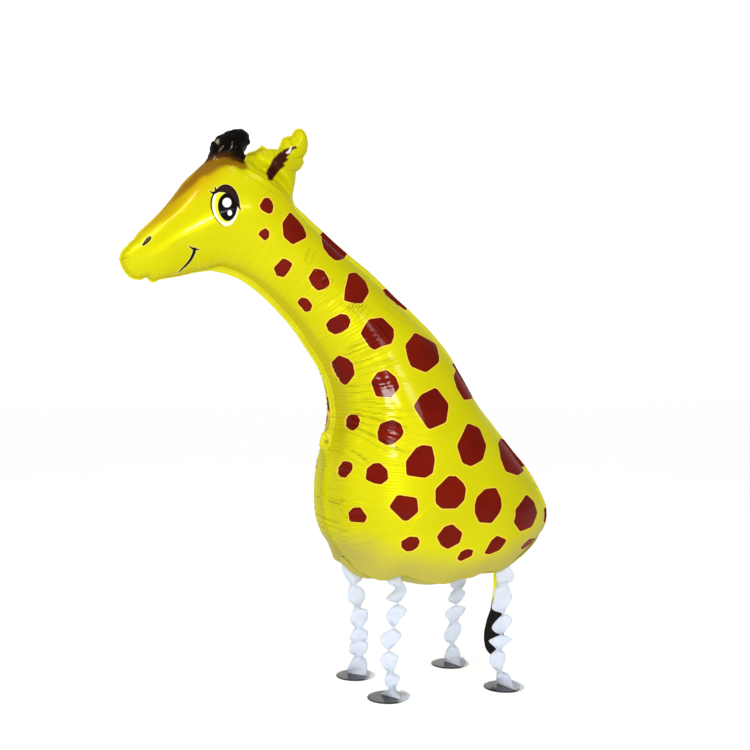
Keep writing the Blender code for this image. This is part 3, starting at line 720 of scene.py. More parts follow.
class Outline:
    """The seam's outer edge, its inner edge and what is known along them."""

    def __init__(self):
        runs = [smooth_run(drawn(points), STEP) for _, _, points in PROFILE]
        self.edge = np.vstack(runs)
        self.names = np.array([name for (name, _, _), run in zip(PROFILE, runs) for _ in run])
        widths = np.concatenate([np.full(len(run), seam) for (_, seam, _), run in zip(PROFILE, runs)])
        along = np.roll(self.edge, -1, axis=0) - np.roll(self.edge, 1, axis=0)
        outward = unit(np.column_stack([-along[:, 1], along[:, 0]]))
        self.outward = unit(ring_average(outward, 1))
        self.edge = self.notched(self.edge)
        widths = ring_average(widths, 3)
        self.inner = self.clean_offset(widths)
        self.belly = self.names == "belly"
        self.belly[(np.flatnonzero(self.belly)[-1] + 1) % len(self.names)] = True
        steps = np.linalg.norm(np.roll(self.edge, -1, axis=0) - self.edge, axis=1)
        self.travelled = np.concatenate([[0.0], np.cumsum(steps)[:-1]])
        trim = ring_average(np.where(self.names == "chest", CHEST_TRIM, 0.0), 4)
        self.outer = self.tabbed(self.scalloped() - self.outward * trim[:, None])

    def clean_offset(self, widths):
        """Step in from the edge, and draw the loops at sharp corners straight."""
        inner = self.edge - self.outward * widths[:, None]
        good = distance_to_line(inner, self.edge, True) > 0.93 * widths
        order = np.arange(len(inner))
        for k in (0, 1):
            inner[:, k] = np.interp(order, order[good], inner[good, k], period=len(inner))
        for _ in range(2):
            inner = 0.5 * inner + 0.5 * ring_average(inner, 1)
        return inner

    def notched(self, edge):
        """Pull the edge in where the head's seam is gathered."""
        middles = flat([notch[:2] for notch in NOTCHES])
        for middle, (_, _, depth, reach) in zip(middles, NOTCHES):
            away = np.linalg.norm(edge - middle, axis=1)
            edge = edge - self.outward * (depth * np.exp(-(away / reach) ** 2))[:, None]
        return edge

    def scalloped(self):
        """Pucker the outer edge where the seam turns tightly."""
        depth = np.zeros(len(self.edge))
        for name, amount in SCALLOPS.items():
            depth[self.names == name] = amount
        depth = ring_average(depth, 3)
        phase = 2 * pi * self.travelled / SCALLOP_SPACING + 2.2 * even_wave(self.travelled, 5, 0.05)
        lobes = np.abs(np.sin(phase / 2)) ** 0.7 - 0.6
        return self.edge + self.outward * (depth * lobes)[:, None]

    def tabbed(self, edge):
        """Push the edge out where the filling tab is."""
        off_middle = np.abs(edge[:, 1] - BELLY_CLEARANCE - TAB_LEVEL) / (TAB_HEIGHT / 2)
        reach = TAB_REACH * np.clip(1 - off_middle ** 5, 0, 1) * (edge[:, 0] < 0)
        return edge + self.outward * reach[:, None]


def even_grid(facet, low, high):
    """Give the corners of equal triangles over a rectangle."""
    rows = np.arange(low[1], high[1], facet * 3 ** 0.5 / 2)
    columns = np.arange(low[0], high[0], facet)
    x = columns[None, :] + (np.arange(len(rows)) % 2)[:, None] * facet / 2
    z = np.repeat(rows[:, None], len(columns), axis=1)
    return np.column_stack([x.ravel(), z.ravel()])


def face_windows():
    """The rectangles of the plane that hold fine print."""
    windows = []
    for u0, v0, u1, v1 in FACE_BOXES:
        corners = flat([(u0, v0), (u1, v0), (u1, v1), (u0, v1)])
        windows.append((corners.min(axis=0), corners.max(axis=0)))
    return windows


def panel_points(shape):
    """Spread points over one side panel: rows along the seam, then even grids."""
    inner = shape.inner
    rows = []
    for depth in SEAM_ROWS:
        row = inner - shape.outward * depth
        clear = (distance_to_line(row, inner, True) > 0.85 * depth) & inside(row, inner)
        rows.append(row[clear])
    windows = face_windows()
    grid = even_grid(STEP, inner.min(axis=0), inner.max(axis=0))
    fine = [even_grid(PRINT_STEP, low, high) for low, high in windows]
    keep = np.ones(len(grid), bool)
    for low, high in windows:
        keep &= ((grid < low - 0.4 * STEP) | (grid > high + 0.4 * STEP)).any(axis=1)
    grid = np.vstack([grid[keep]] + fine)
    grid = grid[inside(grid, inner)]
    grid = grid[distance_to_line(grid, inner, True) > SEAM_ROWS[-1] + 0.5 * STEP]
    return np.vstack([inner] + rows + [grid])


def triangles_over(points, ring_size, keep):
    """Triangulate the points and keep the triangles whose middles pass the test."""
    loop = [(k, (k + 1) % ring_size) for k in range(ring_size)]
    _, _, faces, sources, _, _ = delaunay_2d_cdt([Vector(p) for p in points], loop, [], 0, 1e-8)
    source = [found[0] for found in sources]
    faces = np.array([[source[k] for k in face] for face in faces])
    return faces[keep(points[faces].mean(axis=1))]


def swell(points, faces, fixed, value):
    """Solve how far a panel swells under pressure: a membrane held at fixed points."""
    count = len(points)
    a, b, c = (points[faces[:, k]] for k in range(3))
    area = 0.5 * np.abs((b - a)[:, 0] * (c - a)[:, 1] - (b - a)[:, 1] * (c - a)[:, 0])
    opposite = np.stack([c - b, a - c, b - a])
    load = np.zeros(count)
    one, two, pull = [], [], []
    for i, j in ((0, 1), (1, 2), (2, 0)):
        load += np.bincount(faces[:, i], area / 3, count)
        one.append(faces[:, i])
        two.append(faces[:, j])
        pull.append(-(opposite[i] * opposite[j]).sum(axis=1) / (4 * area))
    one, two, pull = (np.concatenate(part) for part in (one, two, pull))
    diagonal = np.bincount(one, pull, count) + np.bincount(two, pull, count)

    def stiffness(field):
        return (diagonal * field - np.bincount(one, pull * field[two], count)
                - np.bincount(two, pull * field[one], count))

    field = np.where(fixed, value, 0.0)
    error = np.where(fixed, 0.0, load - stiffness(field))
    goal = SWELL_ERROR * (error ** 2).sum()
    scaled = np.where(fixed, 0.0, error / diagonal)
    step = scaled.copy()
    energy = (error * scaled).sum()
    for _ in range(SWELL_STEPS):
        pushed = np.where(fixed, 0.0, stiffness(step))
        amount = energy / (step * pushed).sum()
        field += amount * step
        error -= amount * pushed
        if (error ** 2).sum() < goal:
            break
        scaled = np.where(fixed, 0.0, error / diagonal)
        fresh = (error * scaled).sum()
        step = scaled + fresh / energy * step
        energy = fresh
    return np.sqrt(2 * np.clip(field, 0, None))


def belly_half_width(x, front, rear):
    """Half the width of the belly panel at a place between its ends."""
    share = 2 * (x - front) / (rear - front) - 1
    taper = np.where(share < 0, BELLY_FRONT_TAPER, BELLY_REAR_TAPER)
    return BELLY_WIDTH / 2 * np.clip(1 - share ** 2, 0, 1) ** taper


def shape_section(points, height, shape):
    """Make the body and neck fuller towards the throat and sharper towards the back."""
    to_front = distance_to_line(points, shape.inner[np.isin(shape.names, ("chest", "tab", "throat"))])
    to_back = distance_to_line(points, shape.inner[shape.names == "back"])
    half_width = (to_front + to_back) / 2
    fullness = CHEST_FULLNESS + (BACK_FULLNESS - CHEST_FULLNESS) * to_front / (to_front + to_back)
    filled = np.clip(height / half_width, 1e-6, 1.0)
    shaped = height * filled ** (2 * fullness - 1)
    on_neck = np.clip((points[:, 0] - NECK_START) / NECK_BLEND, 0, 1)
    return height + (shaped - height) * on_neck ** 2 * (3 - 2 * on_neck)


def press_folds(points, height):
    """Press the head's long folds into the swell."""
    for fold in HEAD_FOLDS:
        away = distance_to_line(points, drawn(fold))
        height = height * (1 - FOLD_DEPTH * np.exp(-(away / FOLD_WIDTH) ** 2))
    return height


def normals_of(verts, faces):
    """The panel's outward direction at each vertex."""
    a, b, c = (verts[faces[:, k]] for k in range(3))
    cross = np.cross(b - a, c - a)
    total = np.column_stack([
        sum(np.bincount(faces[:, k], cross[:, axis], len(verts)) for k in range(3)) for axis in range(3)])
    total *= -np.sign(total[:, 1].mean())
    return unit(total)


def one_crease(points, start, end, depth, width):
    """How far one crease presses the foil in: a groove between two low ridges."""
    run = end - start
    length = np.linalg.norm(run)
    ahead = (points - start) @ run / length
    across = (points - start) @ np.array([-run[1], run[0]]) / length
    share = np.clip(ahead / length, 0, 1)
    taper = np.clip(ahead / 0.002, 0, 1) * (1 - share) ** 0.8 * (ahead < length)
    width = width * (1 - 0.35 * share)
    offset = (across / width) ** 2
    return depth * taper * (1 - 1.3 * offset) * np.exp(-offset)


def seam_creases(shape, rng):
    """Draw starting points along each stretch of seam and aim the creases inwards."""
    creases = []
    tab_middle = shape.inner[shape.names == "tab"].mean(axis=0)
    for name, (spacing, short, long, depth, width) in CREASES.items():
        places = np.flatnonzero(shape.names == name)
        travel = shape.travelled[places]
        at = travel[0] + spacing * rng.uniform(0.2, 0.8)
        while at < travel[-1]:
            k = places[np.abs(travel - at).argmin()]
            lean = rng.normal(0.0, 0.10)
            inward = -shape.outward[k]
            fan = (shape.inner[k, 1] - tab_middle[1]) / TAB_FAN
            if abs(fan) < 1 and name in ("tab", "throat", "chest"):
                lean -= TAB_PULL * fan * (1 - abs(fan))
            aim = np.array([inward[0] * cos(lean) - inward[1] * sin(lean),
                            inward[0] * sin(lean) + inward[1] * cos(lean)])
            length = short + (long - short) * rng.uniform() ** 1.6
            strength = depth * rng.uniform(0.5, 1.15)
            broad = width * rng.uniform(0.75, 1.25)
            creases.append((shape.inner[k], shape.inner[k] + aim * length, strength, broad))
            at += spacing * rng.uniform(0.65, 1.4)
    return creases


def read_creases():
    """The head's single creases, on the drawing plane."""
    creases = []
    for start, end, depth, width in HEAD_CREASES:
        ends = flat([start, end])
        creases.append((ends[0], ends[1], depth, width))
    return creases


def creased(verts, normals, free, points, creases):
    """Press creases into a panel, each within its own neighbourhood."""
    push = np.zeros(len(verts))
    for start, end, depth, width in creases:
        low = np.minimum(start, end) - 3 * width
        high = np.maximum(start, end) + 3 * width
        near = np.flatnonzero(((points > low) & (points < high)).all(axis=1))
        push[near] += one_crease(points[near], start, end, depth, width)
    push = np.clip(push, *CREASE_LIMITS) * free
    return verts - normals * push[:, None]


class Half:
    """The left half of the envelope, with every vertex's place in the drawing plane."""

    def __init__(self, shape):
        self.shape = shape
        self.count = len(shape.inner)
        self.verts = []
        self.faces = []
        self.total = 0
        self.panel()
        self.flange()
        self.belly_panel()
        self.verts = np.vstack(self.verts)

    def add(self, verts):
        """Add a row of vertices and give the first one's number."""
        first = self.total
        self.verts.append(np.asarray(verts, float).reshape(-1, 3))
        self.total += len(self.verts[-1])
        return first

    def panel(self):
        """Swell the side panel, and tuck it in towards the belly."""
        shape = self.shape
        points = panel_points(shape)
        faces = triangles_over(points, self.count, lambda middles: inside(middles, shape.inner))
        fixed = np.arange(len(points)) < self.count
        belly_line = shape.inner[shape.belly]
        belly_width = belly_half_width(belly_line[:, 0], belly_line[:, 0].min(), belly_line[:, 0].max())
        half_width = np.zeros(len(points))
        half_width[:self.count][shape.belly] = belly_width
        height = swell(points, faces, fixed, half_width ** 2 / 2)
        height = press_folds(points, shape_section(points, height, shape))
        height[:self.count] = half_width[:self.count]
        away, place = nearest_on_line(points, belly_line, False)
        wide = np.interp(place, np.arange(len(belly_line)), belly_width)
        tuck = BELLY_TUCK * np.clip(1 - away / BELLY_ROUNDING, 0, 1) ** 2 * np.minimum(1, wide / 0.07)
        height = np.maximum(height - tuck, 0.0)
        half_width = np.where(fixed, height, half_width)
        verts = np.column_stack([points[:, 0], -FOIL / 2 - height, points[:, 1] - 0.12 * tuck])
        self.points = points
        self.half_width = half_width[:self.count]
        self.panel_faces = faces
        self.seam_distance = distance_to_line(points, shape.inner, True)
        self.add(verts)
        self.faces += faces.tolist()

    def flange(self):
        """Build the flat seam around the panel, a plate with a hole where the tab is."""
        shape = self.shape
        root = self.verts[0][:self.count]
        width_share = np.minimum(1, self.half_width / (BELLY_WIDTH / 2))
        splay = np.where(shape.belly, BELLY_SEAM_SPLAY * width_share, 0)
        reach = shape.outer - shape.inner
        far = np.column_stack([
            root[:, 0] + reach[:, 0] * np.cos(splay),
            root[:, 1] - np.linalg.norm(reach, axis=1) * np.sin(splay),
            root[:, 2] + reach[:, 1] * np.cos(splay)])
        rings = [0]
        for row in range(1, FLANGE_ROWS + 1):
            rings.append(self.add(root + (far - root) * row / FLANGE_ROWS))
        back = far.copy()
        back[:, 1] = np.minimum(0.0, far[:, 1] + FOIL)
        rings.append(self.add(back))
        tab = shape.names == "tab"
        self.tab_columns = np.flatnonzero(tab)
        for lower, upper in zip(rings[:-1], rings[1:]):
            ring = quads(lower, upper, self.count)
            self.faces += [face for face, on_tab in zip(ring, tab) if upper == rings[-1] or not on_tab]
        self.rings = rings
        self.tab_plate(rings[:-1])

    def tab_plate(self, rings):
        """Fill the tab's stretch of seam with a plate that has a round hole."""
        first, last = self.tab_columns[0], self.tab_columns[-1] + 1
        loop = [rings[0] + k for k in range(first, last + 1)]
        loop += [ring + last for ring in rings[1:-1]]
        loop += [rings[-1] + k for k in range(last, first - 1, -1)]
        loop += [ring + first for ring in rings[-2:0:-1]]
        placed = np.vstack(self.verts)
        edge = self.shape.outer
        off_level = np.abs(edge[self.tab_columns, 1] - BELLY_CLEARANCE - TAB_LEVEL)
        middle = self.tab_columns[off_level.argmin()]
        hole_middle = edge[middle] - self.shape.outward[middle] * TAB_HOLE_FROM_EDGE
        around = oval(0, 0, 1, 1, HOLE_SIDES)
        hole = hole_middle + around * TAB_HOLE / 2
        lip = hole_middle + around * TAB_HOLE * 0.66
        loop_ring = placed[loop][:, [0, 2]]
        points = np.vstack([loop_ring, hole, lip])

        def kept(middles):
            clear = np.linalg.norm(middles - hole_middle, axis=1) > 0.985 * TAB_HOLE / 2
            return inside(middles, loop_ring) & clear

        faces = triangles_over(points, len(loop), kept)
        outer_hole, _, middle_hole = [
            self.add(np.insert(ring, 1, level, axis=1))
            for ring, level in ((hole, -FOIL / 2), (lip, -0.9 * FOIL), (hole, 0.0))]
        index = np.array(loop + list(range(outer_hole, outer_hole + 2 * HOLE_SIDES)))
        self.faces += index[faces].tolist()
        self.faces += quads(outer_hole, middle_hole, HOLE_SIDES)

    def belly_panel(self):
        """Build the left half of the third panel, which sags below the two belly seams."""
        placed = np.vstack(self.verts)
        columns = np.flatnonzero(self.shape.belly)
        root = placed[columns].copy()
        root[:, 1] = np.minimum(0.0, root[:, 1] + FOIL)
        back = self.rings[-1]
        deepest = -root[:, 1].min()
        folds = even_wave(root[:, 0], 8, BELLY_FOLD_SCALE) * BELLY_FOLD
        lines = []
        for row in range(BELLY_ROWS + 1):
            share = row / BELLY_ROWS
            line = root.copy()
            line[:, 1] = root[:, 1] * (1 - share)
            sag = BELLY_SAG * (-root[:, 1] / deepest) * (1 - (1 - share) ** 2)
            near_seam = np.exp(-(share / BELLY_FOLD_REACH) ** 2) * (share > 0)
            line[:, 2] -= sag - folds * near_seam * np.minimum(1, -root[:, 1] / 0.03)
            lines.append(self.add(line))
        for upper, lower in zip(lines[:-1], lines[1:]):
            self.faces += quads(upper, lower, len(columns), False)
        for k in range(len(columns) - 1):
            a, b = columns[k], columns[k + 1]
            self.faces.append([back + a, back + b, lines[0] + k + 1, lines[0] + k])
        self.belly_first = lines[0]


def belly_bumps(shape, points, belly_first):
    """Lift and lower the underside where the photograph's outline bulges and dips."""
    fade = np.exp(-(distance_to_line(points, shape.inner[shape.belly]) / BUMP_FADE) ** 2)
    fade[belly_first:] = 1.0
    middles = flat([bump[:2] for bump in BELLY_BUMPS])
    lift = np.zeros(len(points))
    for (x, _), (_, _, height, reach) in zip(middles, BELLY_BUMPS):
        lift += height * np.exp(-((points[:, 0] - x) / reach) ** 2)
    return lift * fade


def around_seam(place, values, last=None):
    """Read values along the closed seam, at places that are counted in segments."""
    values = np.append(values, values[0] if last is None else last)
    return np.interp(place, np.arange(len(values)), values)


def travel_at(shape, place):
    """How far along the seam each place is, in metres."""
    return around_seam(place, shape.travelled, shape.travelled[-1] + STEP)


def seam_wave(shape, seam_away, place):
    """Sway the seam out of its plane, the same way for both halves."""
    amount = np.full(len(shape.names), SEAM_WAVE)
    amount[shape.belly] = 0.0
    amount[np.isin(shape.names, ("horn", "ear front", "ear tip", "ear back"))] *= HEAD_WAVE
    strength = around_seam(place, ring_average(amount, 6))
    sway = strength * even_wave(travel_at(shape, place), 17, WAVE_SCALE)
    lean = ring_average(ring_average(np.where(shape.names == "chest", CHEST_LEAN, 0.0), 8), 8)
    inward = np.clip(seam_away, 0, None)
    return sway * np.exp(-inward / WAVE_REACH) + around_seam(place, lean) * np.exp(-inward / LEAN_REACH)


def gather_of(names, table, away, place):
    """How strongly the film is gathered at each point, from the stretch of seam it faces."""
    reach = np.full(len(names), 0.004)
    amount = np.zeros(len(names))
    for name, values in table.items():
        reach[names == name], amount[names == name] = values
    reach = ring_average(reach, 8)
    amount = ring_average(amount, 8)
    order = np.arange(len(names))
    share = np.clip(1 - away / np.interp(place, order, reach), 0, 1)
    return share ** 0.7 * np.interp(place, order, amount)


def gather_fields(shape, points, away, place):
    """The gathers along the front, those of the other seams, and an olive tone that grows towards the
    belly.
    """
    front = np.flatnonzero(np.isin(shape.names, tuple(FRONT_GATHERS)))
    from_front, front_place = nearest_on_line(points, shape.inner[front], False)
    from_belly = distance_to_line(points, shape.inner[shape.belly])
    fade = np.interp(front_place / len(front), FADE_PLACES, FADE_STRENGTHS)
    plain = np.isin(shape.names, ("belly", "chest"))
    return {
        "front_along": np.interp(front_place, np.arange(len(front)), shape.travelled[front]) * 1000,
        "front_gather": gather_of(shape.names[front], FRONT_GATHERS, from_front, front_place) * fade,
        "gather": gather_of(shape.names, GATHERS, away, place),
        "edged": np.interp(place, np.arange(len(shape.names)), ring_average(1.0 - plain, 8)),
        "pale": np.clip(1 - from_belly / PALE_REACH, 0, 1),
    }


def fold_lines(points):
    """The nearest single fold: signed distance across it in millimetres, and its strength."""
    across_all = np.full(len(points), NO_FOLD)
    strength = np.zeros(len(points))
    for start, end, depth in FOLD_LINES:
        start, end = flat([start, end])
        run = end - start
        length = np.linalg.norm(run)
        ahead = (points - start) @ run / length
        across = (points - start) @ np.array([-run[1], run[0]]) / length * 1000
        share = ahead / length
        beside = (share > -0.03) & (share < 1.03) & (np.abs(across) < FOLD_REACH)
        nearer = beside & (np.abs(across) < np.abs(across_all))
        fading = np.clip(6 * (1 - share), 0, 1) * np.clip(12 * share, 0, 1)
        across_all[nearer] = across[nearer]
        strength[nearer] = (depth * fading)[nearer]
    return across_all, strength


def spot_rings():
    return [flat(soft_corners(np.array(corners), 2, 0.09)) for corners in SPOTS]


def near_ring(points, ring, margin):
    """Say which points lie in a ring's box or within a margin of it."""
    return ((points > ring.min(axis=0) - margin) & (points < ring.max(axis=0) + margin)).all(axis=1)


def ink_of_rings(points, rings):
    """The least signed distance to any ring, in millimetres."""
    ink = np.full(len(points), NO_INK)
    for ring in rings:
        near = near_ring(points, ring, INK_REACH)
        if near.any():
            ink[near] = np.minimum(ink[near], signed_distance(points[near], ring))
    return ink


def distance_to_strokes(points, strokes):
    """The least signed distance to any stroke, in millimetres."""
    ink = np.full(len(points), NO_INK)
    for stroke in strokes:
        line, widths = flat_stroke(stroke)
        near = near_ring(points, line, INK_REACH)
        if near.any():
            ink[near] = np.minimum(ink[near], stroke_distance(points[near], line, widths))
    return ink


def print_and_painted_light_fields(points):
    """Every printed shape's and painted highlight's signed distance, and the soft shades, over the
    drawing plane.
    """
    fields = {"spot": ink_of_rings(points, spot_rings())}
    for name, (corners, rounds) in FACE_RINGS.items():
        ring = flat(soft_corners(np.array(corners), rounds, 0.22))
        fields[name] = ink_of_rings(points, [ring])
    for name, strokes in FACE_STROKES.items():
        fields[name] = distance_to_strokes(points, strokes)
    for name, ovals in FACE_OVALS.items():
        fields[name] = ink_of_rings(points, [flat_oval(*shape) for shape in ovals])
    fields["eye_lid"] = np.minimum(fields["eye_lid"], fields.pop("lash"))
    ridge = np.array(RIDGE_SHADE)
    away, place = nearest_on_line(points, flat(ridge[:, :2]), False)
    strength = np.interp(place, np.arange(len(ridge)), ridge[:, 2])
    fields["ridge"] = strength * np.exp(-(away / RIDGE_REACH) ** 1.6)
    base = flat(HORN_BASE)
    level = np.interp(points[:, 0], base[:, 0], base[:, 1])
    back = flat(HORN_BACK)
    behind = np.interp(points[:, 1], back[:, 1], back[:, 0])
    in_horn = (points[:, 0] < behind) & (points[:, 1] > base[:, 1].min() - 0.012)
    fields["horn"] = np.where(in_horn, (points[:, 1] - level) * 1000, BELOW_HORN)
    from_band = distance_to_line(points, flat(HORN_BAND))
    fields["horn_base"] = np.exp(-(from_band / HORN_BAND_REACH) ** 2)
    return fields


def creased_sides(shape, half, normals):
    """Give the left and the right side creases of their own."""
    panel = slice(len(half.points))
    free = np.clip(half.seam_distance / 0.0012, 0, 1)
    sides = []
    for seed in CREASE_SEEDS:
        creases = seam_creases(shape, np.random.default_rng(seed)) + read_creases()
        side = half.verts.copy()
        side[panel] = creased(half.verts[panel], normals, free, half.points, creases)
        sides.append(side)
    return sides


def half_fields(shape, half, normals, points, away, place):
    """What the shaders read at each vertex of one half."""
    panel_count = len(half.points)
    belly = slice(half.belly_first, None)
    fields = print_and_painted_light_fields(points)
    fields["spot"][:panel_count] /= np.clip(np.abs(normals[:, 1]), STEEPEST, 1.0)
    for name, values in fields.items():
        values[belly] = BELLY_PRINT.get(name, NO_INK)
    fields["seam"] = away * 1000
    fields["seam"][panel_count:half.belly_first] *= -1
    fields["along"] = travel_at(shape, place) * 1000
    fields.update(gather_fields(shape, points, away, place))
    fields["fold"], fields["fold_depth"] = fold_lines(points)
    for name in ("gather", "front_gather", "fold_depth"):
        fields[name][belly] = 0.0
    fields["pale"][belly] = 1.0
    return fields


def right_spots(shape, points, spots, belly_first):
    """The right panel's spots end before the back seam, and it has two more at the chest."""
    more = ink_of_rings(points, [drawn(oval(*spot, SPOT_SIDES)) for spot in RIGHT_ONLY_SPOTS])
    more[belly_first:] = NO_INK
    from_back = distance_to_line(points, shape.inner[shape.names == "back"])
    return np.minimum(np.maximum(spots, (RIGHT_BACK_CLEAR - from_back) * 1000), more)


def build_envelope():
    """Join both halves of the bag into one closed mesh, and give its vertices their fields."""
    shape = Outline()
    half = Half(shape)
    base = half.verts
    count = len(base)
    points = base[:, [0, 2]]
    normals = normals_of(base[:len(half.points)], half.panel_faces)
    away, place = nearest_on_line(points, shape.inner, True)
    wave = seam_wave(shape, away, place)
    wave[half.belly_first:] = 0.0
    lift = belly_bumps(shape, points, half.belly_first)
    left, right = creased_sides(shape, half, normals)
    right[:, 1] *= -1
    for side in (left, right):
        side[:, 1] += wave
        side[:, 2] += lift
    shared = (base[:, 1] == 0.0) & (np.arange(count) >= len(half.points))
    index = np.arange(count) + count
    index[shared] = np.flatnonzero(shared)
    faces = half.faces + [[int(index[k]) for k in reversed(face)] for face in half.faces]
    fields = half_fields(shape, half, normals, points, away, place)
    both = {name: np.concatenate([values, values]) for name, values in fields.items()}
    both["spot"][count:] = right_spots(shape, points, fields["spot"], half.belly_first)
    both["side"] = np.repeat((-1.0, 1.0), count)
    return np.vstack([left, right]), faces, both


def make_mesh(name, verts, faces, fields=None):
    """Make a clean smooth mesh that carries its fields, moved into the frame's place."""
    verts = np.array(verts, float) + np.array([SHIFT, 0.0, 0.0])
    mesh = bpy.data.meshes.new(name)
    mesh.from_pydata(verts.tolist(), [], faces)
    for field, values in (fields or {}).items():
        layer = mesh.attributes.new(field, "FLOAT", "POINT")
        layer.data.foreach_set("value", np.asarray(values, np.float32))
    bm = bmesh.new()
    bm.from_mesh(mesh)
    loose = [vert for vert in bm.verts if not vert.link_faces]
    bmesh.ops.delete(bm, geom=loose, context="VERTS")
    bmesh.ops.remove_doubles(bm, verts=bm.verts, dist=1e-6)
    bmesh.ops.dissolve_degenerate(bm, edges=bm.edges, dist=1e-7)
    bmesh.ops.recalc_face_normals(bm, faces=bm.faces)
    bm.to_mesh(mesh)
    bm.free()
    mesh.shade_smooth()
    return mesh


def add_piece(name, mesh, material, node):
    """Add one piece that rides on the body and takes a CAD node's place, if one is given."""
    piece = bpy.data.objects.new(name, mesh)
    bpy.context.scene.collection.objects.link(piece)
    mesh.materials.clear()
    mesh.materials.append(material)
    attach(piece, "root")
    if node:
        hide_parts(node)
    return piece


# Materials

class Shader:
    """Adds nodes to a material or to the world, each in a short call."""

    def __init__(self, owner, main="Principled BSDF"):
        self.owner = owner
        self.owner.use_nodes = True
        self.nodes = self.owner.node_tree.nodes
        self.links = self.owner.node_tree.links
        self.main = self.nodes[main]

    def feed(self, socket, value):
        if isinstance(value, bpy.types.NodeSocket):
            self.links.new(value, socket)
        else:
            socket.default_value = value

    def field(self, name):
        node = self.nodes.new("ShaderNodeAttribute")
        node.attribute_name = name
        return node.outputs["Fac"]

    def place(self):
        return self.nodes.new("ShaderNodeTexCoord").outputs["Object"]

    def ramp(self, value, low, high, start=0.0, end=1.0, smooth=False):
        node = self.nodes.new("ShaderNodeMapRange")
        node.interpolation_type = "SMOOTHSTEP" if smooth else "LINEAR"
        for socket, wanted in zip(node.inputs, (value, low, high, start, end)):
            self.feed(socket, wanted)
        return node.outputs[0]

    def math(self, operation, a, b=0.0, c=0.0):
        node = self.nodes.new("ShaderNodeMath")
        node.operation = operation
        for socket, wanted in zip(node.inputs, (a, b, c)):
            self.feed(socket, wanted)
        return node.outputs[0]

    def times(self, a, b):
        return self.math("MULTIPLY", a, b)

    def mix(self, share, under, over):
        node = self.nodes.new("ShaderNodeMix")
        node.data_type = "RGBA"
        self.feed(node.inputs[0], share)
        self.feed(node.inputs[6], under)
        self.feed(node.inputs[7], over)
        return node.outputs[2]

    def noise(self, vector, scale, detail=2.0, roughness=0.5):
        node = self.nodes.new("ShaderNodeTexNoise")
        wanted = {"Vector": vector, "Scale": scale, "Detail": detail, "Roughness": roughness}
        for name, value in wanted.items():
            self.feed(node.inputs[name], value)
        return node.outputs[0]

    def vector(self, x, y, z):
        node = self.nodes.new("ShaderNodeCombineXYZ")
        for socket, wanted in zip(node.inputs, (x, y, z)):
            self.feed(socket, wanted)
        return node.outputs[0]

    def bump(self, height, strength, distance, under=None):
        node = self.nodes.new("ShaderNodeBump")
        self.feed(node.inputs["Height"], height)
        node.inputs["Strength"].default_value = strength
        node.inputs["Distance"].default_value = distance
        if under is not None:
            self.feed(node.inputs["Normal"], under)
        return node.outputs[0]

    def ink(self, under, name, colour, edge=0.0, blur=0.35, amount=1.0):
        """Lay one shape, given by its signed distance field, over the colour below it."""
        share = self.ramp(self.field(name), edge + blur, edge - blur, 0.0, amount)
        return self.mix(share, under, colour)

    def shade(self, under, name, colour, low, high, amount):
        """Lay a soft shade over the colour below it, between two values of a field."""
        return self.mix(self.ramp(self.field(name), low, high, 0.0, amount, True), under, colour)

    def look(self, **values):
        """Set inputs of the main node, with _ for the spaces in their names."""
        for name, value in values.items():
            self.feed(self.main.inputs[name.replace("_", " ")], value)


WHITE = (1.0, 1.0, 1.0, 1.0)
FOIL_YELLOW = linear(209, 205, 10)
FOIL_DEEP = linear(200, 195, 5)
FOIL_PALE = linear(214, 210, 34)
# Painted shade: the darker gold that lines the seams
SEAM_SHADE_GOLD = linear(186, 170, 4)
SPOT_RED = linear(120, 22, 4)
SPOT_DARK = linear(104, 14, 4)
SPOT_EDGE = linear(76, 16, 2)
SPOT_RIM = linear(255, 204, 70)
INK_BLACK = linear(12, 8, 8)
PALE_EDGE = linear(246, 236, 150)

# Soft shades from the lowest up: field, colour, the field's values where it starts and is full, strength
SHADES = (
    ("pale", linear(182, 172, 76), 0.25, 0.9, 0.9),
    ("ridge", linear(188, 152, 4), 0.05, 0.65, 0.85),
    ("ridge", linear(122, 62, 2), 0.76, 1.0, 0.75),
    ("horn_base", linear(138, 98, 8), 0.15, 0.8, 0.95),
    ("horn", linear(72, 42, 6), -2.5, 3.5, 1.0),
    ("horn", linear(8, 4, 3), 2.0, 12.0, 1.0),
)
